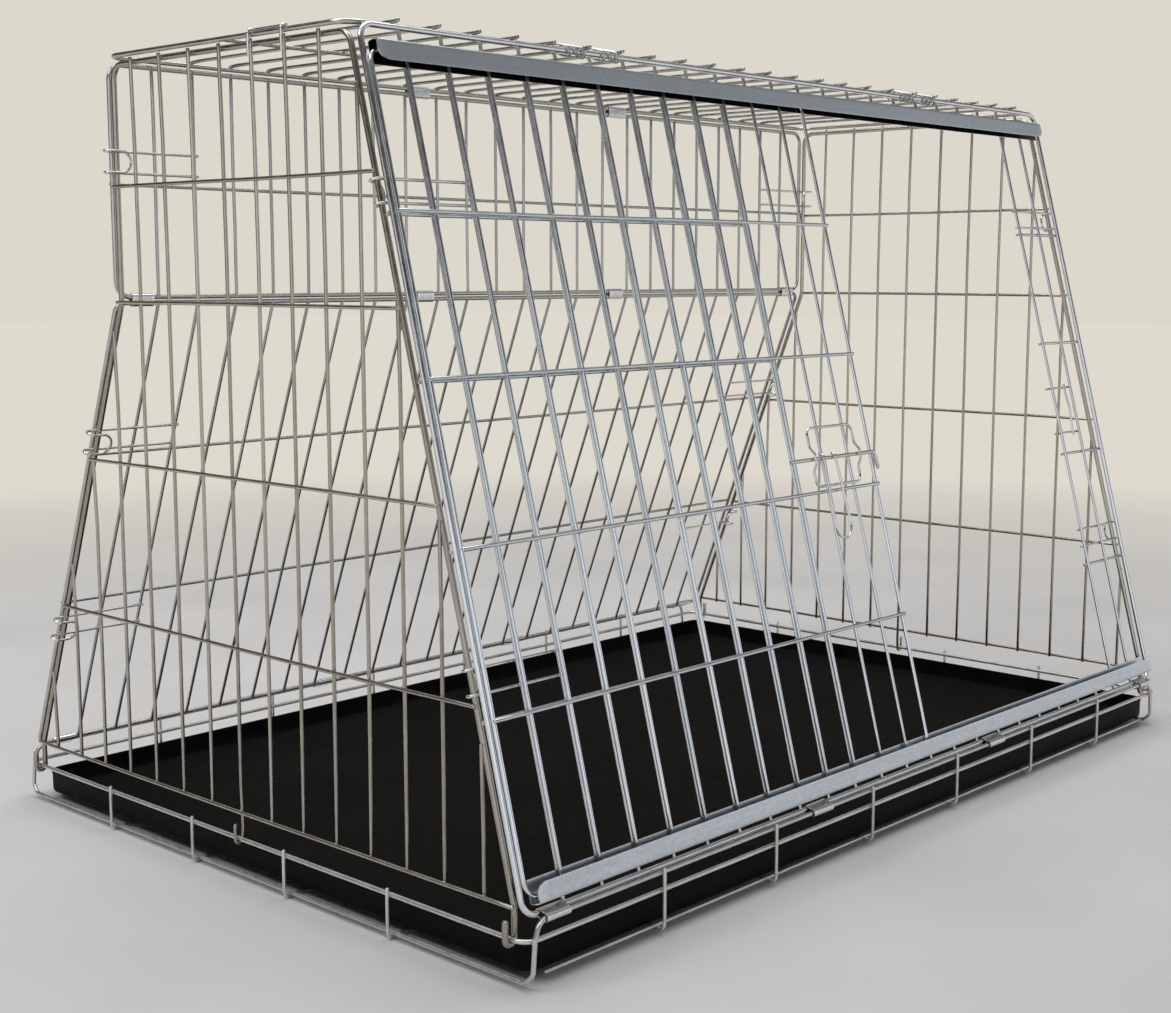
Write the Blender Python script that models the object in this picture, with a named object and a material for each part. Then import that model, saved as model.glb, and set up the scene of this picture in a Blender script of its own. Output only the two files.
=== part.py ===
"""Collapsible sloping wire kennel cage: base frame, black tray and mat, sloped front
panel with a sliding door in two channels, two-part folding back, roof and two
trapezoid end panels that hinge on the base ring and fold inward.

Frame: metres, +Z up, X along the length, the door side faces -Y, origin on the
floor under the centre.  One object per piece."""
import math
import bpy
import bmesh
from mathutils import Vector

# ---------------------------------------------------------------- dimensions
PITCH = 0.0381            # wire spacing of every panel
NX, NY = 24, 16           # cells along the length and the depth
HX, HY = NX * PITCH / 2, NY * PITCH / 2

R_THIN = 0.0013           # panel wires
R_BAR = 0.0013            # cross bars of the panels
R_FRAME = 0.0020          # back and roof frames
R_POST = 0.0022           # front and end frames
R_RING = 0.0017           # base ring and upstands
R_FLOOR = 0.0014          # floor wires
R_PIN = 0.0011            # corner hairpins and catches
GAP = 0.0003
BITE = 0.0004             # how deep crossing wires are welded into each other

Z_RING = 0.0325
Z_UPSTAND = 0.0455
Y_RING = 0.3085
X_RING = HX + R_RING + GAP + R_POST      # ring is concentric with the end panels' hooks
Z_TOP = 0.6220            # top wire of the back
Z_END_TOP = 0.6208        # top wires of the end panels
Z_ROOF = 0.6272
Z_MID_UP, Z_MID_LOW = 0.4417, 0.4370
Y_BACK = 0.1500
Y_ROOF_FRONT = -0.1412
X_ROOF = HX + 0.0020

FRONT_FOOT = (-0.2996, 0.0421)           # reference line of the sloped front (y, z)
FRONT_HEAD = (-0.1451, 0.6225)
S_FRONT_BOTTOM, S_FRONT_TOP = 0.0040, 0.6022
FRONT_BARS = (0.1325, 0.2460, 0.3595, 0.4730)
LOW_FOOT = (0.3010, 0.0490)              # lower back panel (y, z)
LOW_HEAD = (0.1505, Z_MID_LOW)
LOW_BARS = (0.1425, 0.2820)
END_BARS = (0.1808, 0.3095, 0.4377, 0.5276)
Z_END_BOTTOM = 0.0532
UP_BAR = 0.5300

P_OFF = 0.0044            # front panel in front of the reference line
DOOR_OFF = 0.0077         # door wires in front of the reference line
DOOR_CELLS = 13
DOOR_S0, DOOR_S1 = 0.0165, 0.5845
R_DOOR = 0.0016
CH_X = 0.4500             # channels' half length
CH_IN, CH_OUT, CH_T = 0.0050, 0.0142, 0.0008
BOLT_S = 0.2735
R_BOLT = 0.0016
TRAY_X, TRAY_Y, TRAY_H = 0.4520, 0.3000, 0.0196
TRAY_Z0 = 0.0056


def kx(k):
    return (k - NX / 2) * PITCH


def ny(n):
    return HY - n * PITCH


# ---------------------------------------------------------------- scene helpers
for o in list(bpy.data.objects):
    bpy.data.objects.remove(o, do_unlink=True)
for c in list(bpy.data.collections):
    bpy.data.collections.remove(c)

PARTS = bpy.data.collections.new("kennel_cage")
CUTS = bpy.data.collections.new("cutters")
bpy.context.scene.collection.children.link(PARTS)
bpy.context.scene.collection.children.link(CUTS)


def material(name, rgb, rough, metal):
    m = bpy.data.materials.new(name)
    m.use_nodes = True
    b = m.node_tree.nodes["Principled BSDF"]
    b.inputs["Base Color"].default_value = (*rgb, 1)
    b.inputs["Roughness"].default_value = rough
    b.inputs["Metallic"].default_value = metal
    return m


def finish(obj, rgb=(0.62, 0.63, 0.63), rough=0.32, metal=1.0):
    obj.data.materials.clear()
    obj.data.materials.append(material(obj.name + "_finish", rgb, rough, metal))
    return obj


def tube(name, runs, res=0, coll=PARTS):
    """Wires as one curve object with filled caps, turned into a mesh.
    Each run is (points, radius, cyclic) or (points, radius, cyclic, tilt)."""
    cu = bpy.data.curves.new(name + "_curve", 'CURVE')
    cu.dimensions = '3D'
    cu.bevel_depth = 0.001
    cu.bevel_resolution = res
    cu.use_fill_caps = True
    for run in runs:
        pts, r, cyc = run[0], run[1], run[2]
        tilt = run[3] if len(run) > 3 else 0.0
        sp = cu.splines.new('POLY')
        sp.points.add(len(pts) - 1)
        for p, q in zip(sp.points, pts):
            p.co = (q[0], q[1], q[2], 1)
            p.radius = r / 0.001
            p.tilt = tilt
        sp.use_cyclic_u = cyc
    tmp = bpy.data.objects.new(name + "_wire", cu)
    coll.objects.link(tmp)
    dg = bpy.context.evaluated_depsgraph_get()
    me = bpy.data.meshes.new_from_object(tmp.evaluated_get(dg))
    mw = tmp.matrix_world.copy()
    bpy.data.objects.remove(tmp, do_unlink=True)
    bm = bmesh.new()
    bm.from_mesh(me)
    bmesh.ops.remove_doubles(bm, verts=bm.verts, dist=0.00001)
    bmesh.ops.recalc_face_normals(bm, faces=bm.faces)
    bm.to_mesh(me)
    bm.free()
    obj = bpy.data.objects.new(name, me)
    obj.matrix_world = mw
    coll.objects.link(obj)
    return obj


def union(obj, *others):
    for i, o in enumerate(others):
        m = obj.modifiers.new("join_%d" % i, 'BOOLEAN')
        m.operation = 'UNION'
        m.solver = 'EXACT'
        m.object = o
        o.hide_render = True
        o.display_type = 'WIRE'
    return obj


def cutter(name, runs, res=0):
    return tube(name, runs, res, CUTS)


def rounded(pts, rad, n=3, closed=False):
    """Polyline with its corners turned into arcs of n steps."""
    pts = [Vector(p) for p in pts]
    out = []
    N = len(pts)
    for i, p in enumerate(pts):
        if not closed and i in (0, N - 1):
            out.append(p)
            continue
        a, b = pts[i - 1] - p, pts[(i + 1) % N] - p
        r = rad[i] if isinstance(rad, (list, tuple)) else rad
        ang = a.angle(b)
        if r <= 0 or ang > math.radians(177):
            out.append(p)
            continue
        d = r / math.tan(ang / 2)
        t0, t1 = p + a.normalized() * d, p + b.normalized() * d
        c = p + (a.normalized() + b.normalized()).normalized() * (r / math.sin(ang / 2))
        u, v = t0 - c, t1 - c
        tot = u.angle(v)
        for j in range(n + 1):
            f = j / n
            w = (u * math.sin((1 - f) * tot) + v * math.sin(f * tot)) / math.sin(tot)
            out.append(c + w)
    return [tuple(q) for q in out]


def plane(foot, head, outward):
    """Point on a panel plane: x along the length, s up the slope, off outward."""
    f, h = Vector((0, *foot)), Vector((0, *head))
    up = (h - f).normalized()
    nrm = Vector((0, outward * up.z, -outward * up.y))
    def at(x, s, off=0.0):
        p = f + up * s + nrm * off
        return (x, p.y, p.z)
    at.up, at.n, at.length = up, nrm, (h - f).length
    return at


front = plane(FRONT_FOOT, FRONT_HEAD, -1)
low = plane(LOW_FOOT, LOW_HEAD, 1)
back = plane((Y_BACK, 0.0), (Y_BACK, 1.0), 1)


def grille(x, s, off=0.0):
    return front(x, s, off + P_OFF)


def prism(name, outline, axis_from, axis_to, frame, coll=PARTS):
    """Flat outline as a filled 2D curve, extruded along X between two x values."""
    cu = bpy.data.curves.new(name + "_outline", 'CURVE')
    cu.dimensions = '2D'
    cu.fill_mode = 'BOTH'
    cu.extrude = (axis_to - axis_from) / 2
    for loop in outline:
        sp = cu.splines.new('POLY')
        sp.points.add(len(loop) - 1)
        for p, q in zip(sp.points, loop):
            p.co = (q[0], q[1], 0, 1)
        sp.use_cyclic_u = True
    tmp = bpy.data.objects.new(name + "_flat", cu)
    coll.objects.link(tmp)
    dg = bpy.context.evaluated_depsgraph_get()
    me = bpy.data.meshes.new_from_object(tmp.evaluated_get(dg))
    bpy.data.objects.remove(tmp, do_unlink=True)
    bm = bmesh.new()
    bm.from_mesh(me)
    bmesh.ops.remove_doubles(bm, verts=bm.verts, dist=0.000005)
    mid = (axis_from + axis_to) / 2
    for v in bm.verts:                      # outline (a, b) and depth -> world
        v.co = frame(mid + v.co.z, v.co.x, v.co.y)
    bmesh.ops.recalc_face_normals(bm, faces=bm.faces)
    if bm.calc_volume(signed=True) < 0:
        bmesh.ops.reverse_faces(bm, faces=bm.faces)
    bm.to_mesh(me)
    bm.free()
    obj = bpy.data.objects.new(name, me)
    coll.objects.link(obj)
    return obj


def stadium(a, b, r, n=4):
    """Outline round two points a and b at radius r."""
    a, b = Vector(a), Vector(b)
    d = (b - a).normalized()
    base = math.atan2(d.y, d.x)
    pts = []
    for c, s0 in ((b, base - math.pi / 2), (a, base + math.pi / 2)):
        for i in range(n + 1):
            t = s0 + math.pi * i / n
            pts.append((c.x + r * math.cos(t), c.y + r * math.sin(t)))
    return pts


# ---------------------------------------------------------------- base frame
def base_frame():
    def corner(sx, sy):
        x = sx * (HX + 0.0018)
        yv = Y_RING + 2 * R_RING - BITE
        return [(x, sy * (yv - 0.016), 0.0041), (x, sy * (yv - 0.007), 0.0043),
                (sx * (HX + 0.0008), sy * yv, 0.0110), (sx * (HX - 0.0012), sy * yv, 0.0345),
                (sx * (HX - 0.0050), sy * (yv - 0.0008), 0.0425),
                (sx * (HX - 0.0130), sy * Y_RING, Z_UPSTAND)]
    loop = []
    loop += corner(-1, -1)
    loop += corner(1, -1)[::-1]
    loop += corner(1, 1)
    loop += corner(-1, 1)[::-1]
    body = tube("base_frame", [(loop, R_RING, True)], res=1)
    ring = rounded([(-X_RING, -Y_RING, Z_RING), (X_RING, -Y_RING, Z_RING),
                    (X_RING, Y_RING, Z_RING), (-X_RING, Y_RING, Z_RING)], 0.010, 3, True)
    ring = cutter("base_ring", [(ring, R_RING, True)], res=1)
    xo = X_RING + R_RING + R_FLOOR - BITE
    yo = Y_RING + R_RING + R_FLOOR - BITE
    zf = R_FLOOR
    runs = []
    for n in (-1.5, -0.5, 0.5, 1.5):
        y = n * 0.117
        runs.append((rounded([(-xo, y, Z_RING + 0.004), (-xo, y, zf), (xo, y, zf),
                              (xo, y, Z_RING + 0.004)], 0.004, 2), R_FLOOR, False))
    along = cutter("floor_wires_along", runs)
    zc = zf + 2 * R_FLOOR - BITE
    runs = []
    for i in range(1, 7):
        x = kx(NX * i / 7)
        runs.append((rounded([(x, -yo, Z_UPSTAND + 0.003), (x, -yo, zc), (x, yo, zc),
                              (x, yo, Z_UPSTAND + 0.003)], 0.004, 2), R_FLOOR, False))
    across = cutter("floor_wires_across", runs)
    return finish(union(body, ring, along, across), (0.60, 0.61, 0.60), 0.36)


def tray():
    x, y = TRAY_X, TRAY_Y
    t = 0.0012
    rr = 0.014
    corners = rounded([(-x, -y, 0), (x, -y, 0), (x, y, 0), (-x, y, 0)], rr, 4, True)
    inner = rounded([(-x + t, -y + t, 0), (x - t, -y + t, 0), (x - t, y - t, 0),
                     (-x + t, y - t, 0)], rr - t, 4, True)

    def slab(name, loop, z0, z1, coll):
        bm = bmesh.new()
        vs = [bm.verts.new((p[0], p[1], z0)) for p in loop]
        f = bm.faces.new(vs)
        ext = bmesh.ops.extrude_face_region(bm, geom=[f])
        bmesh.ops.translate(bm, verts=[g for g in ext["geom"] if isinstance(g, bmesh.types.BMVert)],
                            vec=(0, 0, z1 - z0))
        bmesh.ops.recalc_face_normals(bm, faces=bm.faces)
        me = bpy.data.meshes.new(name)
        bm.to_mesh(me)
        bm.free()
        o = bpy.data.objects.new(name, me)
        coll.objects.link(o)
        return o
    pan = slab("tray", corners, TRAY_Z0, TRAY_Z0 + TRAY_H, PARTS)
    well = slab("tray_well", inner, TRAY_Z0 + t, TRAY_Z0 + TRAY_H + 0.01, CUTS)
    m = pan.modifiers.new("well", 'BOOLEAN')
    m.operation, m.solver, m.object = 'DIFFERENCE', 'EXACT', well
    well.hide_render, well.display_type = True, 'WIRE'
    finish(pan, (0.012, 0.012, 0.013), 0.45, 0.0)
    mat = slab("tray_mat", rounded([(-x + 0.004, -y + 0.004, 0), (x - 0.004, -y + 0.004, 0),
                                    (x - 0.004, y - 0.004, 0), (-x + 0.004, y - 0.004, 0)],
                                   0.010, 3, True),
               TRAY_Z0 + t + GAP, TRAY_Z0 + t + GAP + 0.0030, PARTS)
    finish(mat, (0.014, 0.013, 0.012), 0.9, 0.0)


# ---------------------------------------------------------------- end panels
def end_panel(name, side):
    """Trapezoid end; its post feet and one middle wire hook round the base ring."""
    x = side * HX
    post_f = P_OFF - (2 * R_PIN + 2 * GAP + 2 * R_POST)          # offset of the posts from the panels
    post_b = -(2 * R_PIN + 2 * GAP + R_FRAME + R_POST)

    def fy(z):            # front post line
        a, b = front(0, 0.0, post_f), front(0, 0.5, post_f)
        return a[1] + (z - a[2]) * (b[1] - a[1]) / (b[2] - a[2])

    def by(z):            # rear post line
        a, b = low(0, 0.0, post_b), low(0, 0.4, post_b)
        ylow = a[1] + (z - a[2]) * (b[1] - a[1]) / (b[2] - a[2])
        return max(Y_BACK + post_b, ylow)
    zk = 0.0
    a, b = low(0, 0.0, post_b), low(0, 0.4, post_b)
    zk = a[2] + (Y_BACK + post_b - a[1]) * (b[2] - a[2]) / (b[1] - a[1])   # knee of the rear post

    # hook round the ring: down inside, under, up outside
    rh = R_RING + GAP + R_POST

    def foot(y, r_wire=R_POST, tip=0.0130):
        rr = R_RING + GAP + r_wire
        xr = side * X_RING
        pts = []
        for i in range(5):
            t = math.pi * i / 4
            pts.append((xr - side * rr * math.cos(t), y, Z_RING - rr * math.sin(t)))
        pts.append((xr + side * rr, y, Z_RING + tip))
        return pts
    yf0, yb0 = fy(Z_END_BOTTOM), by(Z_END_BOTTOM)
    frame = []
    frame += foot(yf0)[::-1]
    frame += [(x, yf0, Z_END_BOTTOM - 0.004)]
    frame += rounded([(x, yf0, Z_END_BOTTOM), (x, fy(Z_END_TOP), Z_END_TOP), (x, Y_BACK + post_b, Z_END_TOP),
                      (x, Y_BACK + post_b, zk), (x, yb0, Z_END_BOTTOM)], [0, 0.011, 0.011, 0.030, 0], 3)
    frame += [(x, yb0, Z_END_BOTTOM - 0.004)]
    frame += foot(yb0)
    body = tube(name, [(frame, R_POST, False)], res=1)

    runs = []
    for n in range(1, NY):
        y = ny(n)
        z1 = Z_END_TOP if fy(Z_END_TOP) + 0.008 < y < Y_BACK + post_b - 0.008 else None
        if z1 is None:                       # ends on a sloped post
            lo, hi = Z_END_BOTTOM, Z_END_TOP
            for _ in range(40):
                m = (lo + hi) / 2
                if fy(m) < y < by(m):
                    lo = m
                else:
                    hi = m
            z1 = lo
        if n == 8:
            pts = foot(y, R_THIN, 0.0120)[::-1] + [(x + side * 0.0, y, Z_END_BOTTOM), (x, y, z1)]
            pts[5] = (x, y, Z_END_BOTTOM)
            # the middle hook is concentric with the ring, its shank returns to the panel
            h = foot(y, R_THIN, 0.0120)[::-1]
            pts = h + [(x, y, Z_RING + 0.008), (x, y, z1)]
        else:
            pts = [(x, y, Z_END_BOTTOM - 0.0016), (x, y, z1)]
        runs.append((pts, R_THIN, False))
    vert = cutter(name + "_uprights", runs)
    xo = x + side * (R_THIN + R_BAR - BITE)
    runs = []
    for z in (Z_END_BOTTOM,) + END_BARS:
        runs.append(([(xo, fy(z) - 0.0018, z), (xo, by(z) + 0.0018, z)], R_BAR, False))
    bars = cutter(name + "_bars", runs)
    return finish(union(body, vert, bars), (0.63, 0.64, 0.64), 0.30)


# ---------------------------------------------------------------- back and roof
def panel_loop(at, s0, s1, x0, x1, r_corner, n=3, off=0.0):
    return rounded([at(x0, s0, off), at(x1, s0, off), at(x1, s1, off), at(x0, s1, off)],
                   r_corner, n, True)


def back_panel(name, at, s0, s1, bars, rb):
    body = tube(name, [(panel_loop(at, s0, s1, -HX, HX, rb), R_FRAME, True)], res=1)
    off = -0.0008
    vert = cutter(name + "_uprights", [([at(kx(k), s0 - 0.0012, off), at(kx(k), s1 + 0.0012, off)], R_THIN, False)
                                       for k in range(1, NX)])
    ob = off + R_THIN + R_BAR - BITE
    horiz = cutter(name + "_bars", [([at(-HX - 0.0010, s, ob), at(HX + 0.0010, s, ob)], R_BAR, False) for s in bars])
    return finish(union(body, vert, horiz), (0.62, 0.63, 0.64), 0.32)


def roof_panel():
    loop = rounded([(-X_ROOF, Y_ROOF_FRONT, Z_ROOF), (X_ROOF, Y_ROOF_FRONT, Z_ROOF),
                    (X_ROOF, Y_BACK, Z_ROOF), (-X_ROOF, Y_BACK, Z_ROOF)], 0.014, 3, True)
    body = tube("roof_panel", [(loop, R_FRAME, True)], res=1)
    zt = Z_ROOF + R_FRAME + R_THIN - BITE
    trans = cutter("roof_cross_wires", [([(kx(k), Y_ROOF_FRONT - 0.0090, zt + 0.0018), (kx(k), Y_ROOF_FRONT - 0.0050, zt),
                                          (kx(k), Y_BACK + 0.0022, zt)], R_THIN, False) for k in range(1, NX)])
    zl = zt - R_THIN - R_BAR + BITE
    mid = cutter("roof_long_wire", [([(-X_ROOF, 0.0048, zl), (X_ROOF, 0.0048, zl)], R_BAR, False)])
    return finish(union(body, trans, mid), (0.60, 0.61, 0.62), 0.34)


# ---------------------------------------------------------------- front panel, channels, door
def front_panel():
    """One welded panel in four solids: a frame goes right round the doorway, so the grille
    left of it, the strip right of it and the wires over and under it butt with a hair gap."""
    off = P_OFF - 0.0010
    ob = off - R_THIN - R_BAR + BITE
    s0, s1 = S_FRONT_BOTTOM - 0.0012, S_FRONT_TOP + 0.0012
    rgb = (0.64, 0.65, 0.66)
    xl, xr = kx(10) + 0.0030, kx(22) - 0.0030
    for name, xe, xc, ks in (("front_panel", xl - GAP / 2, -HX, range(1, 11)),
                             ("front_panel_strip", xr + GAP / 2, HX, (22, 23))):
        path = rounded([front(xe, S_FRONT_BOTTOM, P_OFF), front(xc, S_FRONT_BOTTOM, P_OFF),
                        front(xc, S_FRONT_TOP, P_OFF), front(xe, S_FRONT_TOP, P_OFF)], 0.010, 3)
        body = tube(name, [(path, R_POST, False)], res=1)
        vert = cutter(name + "_uprights", [([front(kx(k), s0, off), front(kx(k), s1, off)], R_THIN, False)
                                           for k in ks])
        sx = 1 if xc > 0 else -1
        bars = cutter(name + "_bars", [([front(xc + sx * 0.0010, s, ob), front(xe + sx * 0.0010, s, ob)], R_BAR, False)
                                       for s in FRONT_BARS])
        finish(union(body, vert, bars), rgb, 0.28)
    for name, s, a0, a1 in (("front_panel_sill", S_FRONT_BOTTOM, s0, 0.0285),
                            ("front_panel_lintel", S_FRONT_TOP, 0.5785, s1)):
        body = tube(name, [([front(xl + GAP / 2, s, P_OFF), front(xr - GAP / 2, s, P_OFF)], R_POST, False)], res=1)
        vert = cutter(name + "_stubs", [([front(kx(k), a0, off), front(kx(k), a1, off)], R_THIN, False)
                                        for k in range(11, 22)])
        finish(union(body, vert), rgb, 0.28)


def channel(name, s_web, s_front, s_rear):
    """Folded sheet U: rear flange, web and front flange, with rounded front corners."""
    d = 1 if s_front > s_web else -1
    t = CH_T * d
    out = [(s_rear, CH_IN), (s_web, CH_IN), (s_web, CH_OUT), (s_front, CH_OUT),
           (s_front, CH_OUT - CH_T), (s_web + t, CH_OUT - CH_T), (s_web + t, CH_IN + CH_T),
           (s_rear, CH_IN + CH_T)]
    obj = prism(name, [out], -CH_X, CH_X, lambda x, s, off: front(x, s, off))
    # the front flange's ends are rounded off
    h = abs(s_front - s_web)
    r = 0.0055
    for i, sx in enumerate((-1, 1)):
        arc = []
        cx, cs = sx * (CH_X - r), s_front - d * r
        arc.append((cx, s_front + d * 0.002))
        arc.append((sx * (CH_X + 0.002), s_front + d * 0.002))
        arc.append((sx * (CH_X + 0.002), cs))
        for j in range(5):
            a = math.pi / 2 * j / 4
            arc.append((cx + sx * r * math.cos(a), cs + d * r * math.sin(a)))
        cu = prism(name + "_nip_%d" % i, [arc], CH_OUT - 0.0025, CH_OUT + 0.0025,
                   lambda o, x, s: front(x, s, o), CUTS)
        m = obj.modifiers.new("nip_%d" % i, 'BOOLEAN')
        m.operation, m.solver, m.object = 'DIFFERENCE', 'EXACT', cu
        cu.hide_render, cu.display_type = True, 'WIRE'
    return finish(obj, (0.50, 0.54, 0.57), 0.34)


def sliding_door():
    x0, x1 = kx(0) + 0.0050, kx(DOOR_CELLS)
    body = tube("sliding_door", [(panel_loop(front, DOOR_S0, DOOR_S1, x0, x1, 0.009, 3, DOOR_OFF), R_DOOR, True)], res=1)
    vert = cutter("door_uprights", [([front(kx(k), DOOR_S0 - 0.0010, DOOR_OFF), front(kx(k), DOOR_S1 + 0.0010, DOOR_OFF)],
                                     R_THIN, False) for k in range(1, DOOR_CELLS)])
    ob = DOOR_OFF + R_THIN + R_BAR - BITE
    bars = cutter("door_bars", [([front(x0 - 0.0014, s, ob), front(x1 + 0.0014, s, ob)], R_BAR, False)
                                for s in FRONT_BARS])
    return finish(union(body, vert, bars), (0.66, 0.67, 0.68), 0.26)


def latch():
    off_r = DOOR_OFF + R_DOOR + GAP + R_BOLT
    # bolt: straight rod with its tip bent down beside the door's edge
    xt = kx(DOOR_CELLS) + R_DOOR + 0.0012 + R_BOLT
    rod = rounded([front(kx(10) - 0.0060, BOLT_S, off_r), front(xt, BOLT_S, off_r),
                   front(xt + 0.0020, BOLT_S - 0.0150, off_r)], 0.003, 3)
    finish(tube("door_bolt", [(rod, R_BOLT, False)], res=1), (0.58, 0.59, 0.60), 0.30)
    # staple: closed wire loop that bulges over the rod on both sides
    ow = DOOR_OFF + R_THIN + GAP + R_PIN
    oc = off_r + R_BOLT + GAP + R_PIN + 0.0002
    xl, xr = kx(10.42), kx(12.20)
    sb, st = 0.2510, 0.2975

    def leg(x):
        return [front(x, sb, ow), front(x, BOLT_S - 0.0100, ow), front(x, BOLT_S - 0.0040, oc),
                front(x, BOLT_S + 0.0040, oc), front(x, BOLT_S + 0.0100, ow), front(x, st, ow)]
    loop = leg(xl) + leg(xr)[::-1]
    loop = rounded(loop, [0.005, 0.002, 0.002, 0.002, 0.002, 0.005, 0.005, 0.002, 0.002, 0.002, 0.002, 0.005], 2, True)
    finish(tube("bolt_staple", [(loop, R_PIN, True)], res=1), (0.62, 0.62, 0.62), 0.30)
    # hairpin handle hanging on the rod, in front of the door
    rp = R_PIN
    rc = R_BOLT + GAP + rp + 0.0001
    x_a, x_b = kx(10.84), kx(11.26)
    x_c, x_d = kx(10.79), kx(11.35)      # the loop is wider at its foot

    def eye(x):
        pts = []
        for i in range(6):            # over the rod's top to its front; clear of the door's uprights
            t = math.radians(75 + 105 * i / 5)
            pts.append((x, BOLT_S + rc * math.sin(t), off_r - rc * math.cos(t)))
        return pts
    ea = eye(x_a)
    tip = BOLT_S - 0.0680
    o1 = off_r + rc
    path = [(p[0], p[1], p[2]) for p in ea]
    path += [(x_c, tip + 0.0100, o1), (x_c + 0.0032, tip + 0.0030, o1), ((x_c + x_d) / 2, tip, o1),
             (x_d - 0.0032, tip + 0.0030, o1), (x_d, tip + 0.0100, o1)]
    path += [(x_b, p[1], p[2]) for p in ea[::-1]]
    pts = [front(p[0], p[1], p[2]) for p in path]
    finish(tube("bolt_handle", [(pts, rp, False)], res=1), (0.62, 0.62, 0.61), 0.28)
    # receiver on the fixed strip at the right
    off = P_OFF - 0.0010 - R_THIN - GAP - R_PIN
    runs = [([front(kx(21.86), 0.3130, off), front(kx(23.08), 0.3130, off)], R_PIN, False),
            ([front(kx(21.86), 0.2670, off), front(kx(23.08), 0.2670, off)], R_PIN, False)]
    body = tube("latch_receiver", [([front(kx(22.72), 0.2640, off + 0.0016), front(kx(22.72), 0.3160, off + 0.0016)],
                                    R_PIN, False)])
    finish(union(body, cutter("receiver_bars", runs)), (0.60, 0.61, 0.61), 0.32)


# ---------------------------------------------------------------- hairpins, catches, clips
def hairpin(name, at, side, s_up, s_dn, r_frame, r_side_off, extra=0.0):
    """Two legs on the panel's inner face that wrap round the end panel's post."""
    leg = -(r_frame + GAP + R_PIN)
    post = leg - R_PIN - GAP - R_POST
    rw = R_POST + GAP + R_PIN
    x_in = side * (HX - 2 * PITCH) - side * 0.002
    xc = side * HX
    one = [(x_in, s_up, leg), (x_in + side * 0.020, s_up, leg)]
    for i in range(4):
        t = math.pi / 2 * i / 3
        one.append((xc + side * rw * math.sin(t), s_up, post + rw * math.cos(t)))
    one.append((xc + side * rw, s_up, post - 0.0080))
    d = (s_up - s_dn)
    one.append((xc + side * rw, s_up - d * 0.22, post - 0.0125))
    two = [(p[0], s_dn + (s_up - p[1]), p[2]) for p in one][::-1]
    pts = [at(p[0], p[1], p[2]) for p in one + two]
    finish(tube(name, [(pts, R_PIN, False)], res=0), (0.62, 0.62, 0.62), 0.30)


def roof_catch(name, side):
    """Wire bail: two legs outside the end panel's top that hook over the roof's end wire."""
    rw = R_FRAME + GAP + R_PIN
    x = side * X_ROOF
    ys = (ny(9), ny(10))
    lo = 0.6010

    def hook(y):
        pts = [(x + side * rw, y, lo)]
        for i in range(6):
            t = math.radians(115 * i / 5)
            pts.append((x + side * rw * math.cos(t), y, Z_ROOF + rw * math.sin(t)))
        return pts
    path = hook(ys[0]) + hook(ys[1])[::-1]
    finish(tube(name, [(path, R_PIN, False)], res=0), (0.60, 0.61, 0.61), 0.32)


def clip(name, a, ra, b, rb, x_mid, length=0.0255):
    """Folded sheet sleeve round two parallel wires that run along X."""
    r = max(ra, rb) + GAP
    t = 0.0007
    outer = stadium(a, b, r + t)
    inner = stadium(a, b, r)
    o = prism(name, [outer, inner], x_mid - length / 2, x_mid + length / 2, lambda x, p, q: (x, p, q))
    return finish(o, (0.74, 0.75, 0.76), 0.25)


def hinge_coil(name, x0, turns=3, step=0.0080):
    """Wire coil wound round the roof's front wire and the front panel's top wire."""
    f = front(0, S_FRONT_TOP, P_OFF)
    a, b = Vector((f[1], f[2])), Vector((Y_ROOF_FRONT, Z_ROOF))
    r = max(R_POST, R_FRAME) + 0.0008 + 0.0009
    loop = stadium(a, b, r, 4)
    pts = []
    n = len(loop)
    for i in range(turns * n + 1):
        p = loop[i % n]
        pts.append((x0 + step * i / n, p[0], p[1]))
    finish(tube(name, [(pts, 0.0009, False)], res=0), (0.60, 0.61, 0.62), 0.35)


# ---------------------------------------------------------------- build
base_frame()
tray()
end_panel("left_end_panel", -1)
end_panel("right_end_panel", 1)
back_panel("back_upper_panel", back, Z_MID_UP, Z_TOP, (UP_BAR,), 0.012)
back_panel("back_lower_panel", low, 0.0, low.length, LOW_BARS, 0.008)
roof_panel()
front_panel()
channel("bottom_channel", 0.0110, 0.0245, 0.0272)
channel("top_channel", 0.5894, 0.5750, 0.5768)
sliding_door()
latch()

for side, tag in ((-1, "left"), (1, "right")):
    hairpin("hairpin_rear_%s_upper" % tag, back, side, 0.5550, 0.5385, R_FRAME, 0)
    hairpin("hairpin_rear_%s_middle" % tag, low, side, 0.3065, 0.2895, R_FRAME, 0)
    hairpin("hairpin_rear_%s_lower" % tag, low, side, 0.1310, 0.1140, R_FRAME, 0)
    hairpin("hairpin_front_%s_upper" % tag, grille, side, 0.4970, 0.4805, R_POST, 0)
    hairpin("hairpin_front_%s_lower" % tag, grille, side, 0.1680, 0.1510, R_POST, 0)
    roof_catch("roof_catch_%s" % tag, side)

fb = front(0, S_FRONT_BOTTOM, P_OFF)
for i, (k, w) in enumerate(((0.64, 0.022), (8.48, 0.0255), (15.52, 0.0255), (23.36, 0.022)), 1):
    clip("front_hinge_clip_%d" % i, (-Y_RING, Z_UPSTAND), R_RING, (fb[1], fb[2]), R_POST, kx(k), w)
    clip("rear_hinge_clip_%d" % i, LOW_FOOT, R_FRAME, (Y_RING, Z_UPSTAND), R_RING, kx(k), w)
for i, k in enumerate((0.60, 8.55, 15.52, 23.40), 1):
    clip("mid_hinge_clip_%d" % i, LOW_HEAD, R_FRAME, (Y_BACK, Z_MID_UP), R_FRAME, kx(k), 0.0200)
for i, k in enumerate((8.42, 15.55), 1):
    clip("roof_hinge_clip_%d" % i, (Y_BACK, Z_TOP), R_FRAME, (Y_BACK, Z_ROOF), R_FRAME, kx(k))
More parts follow.
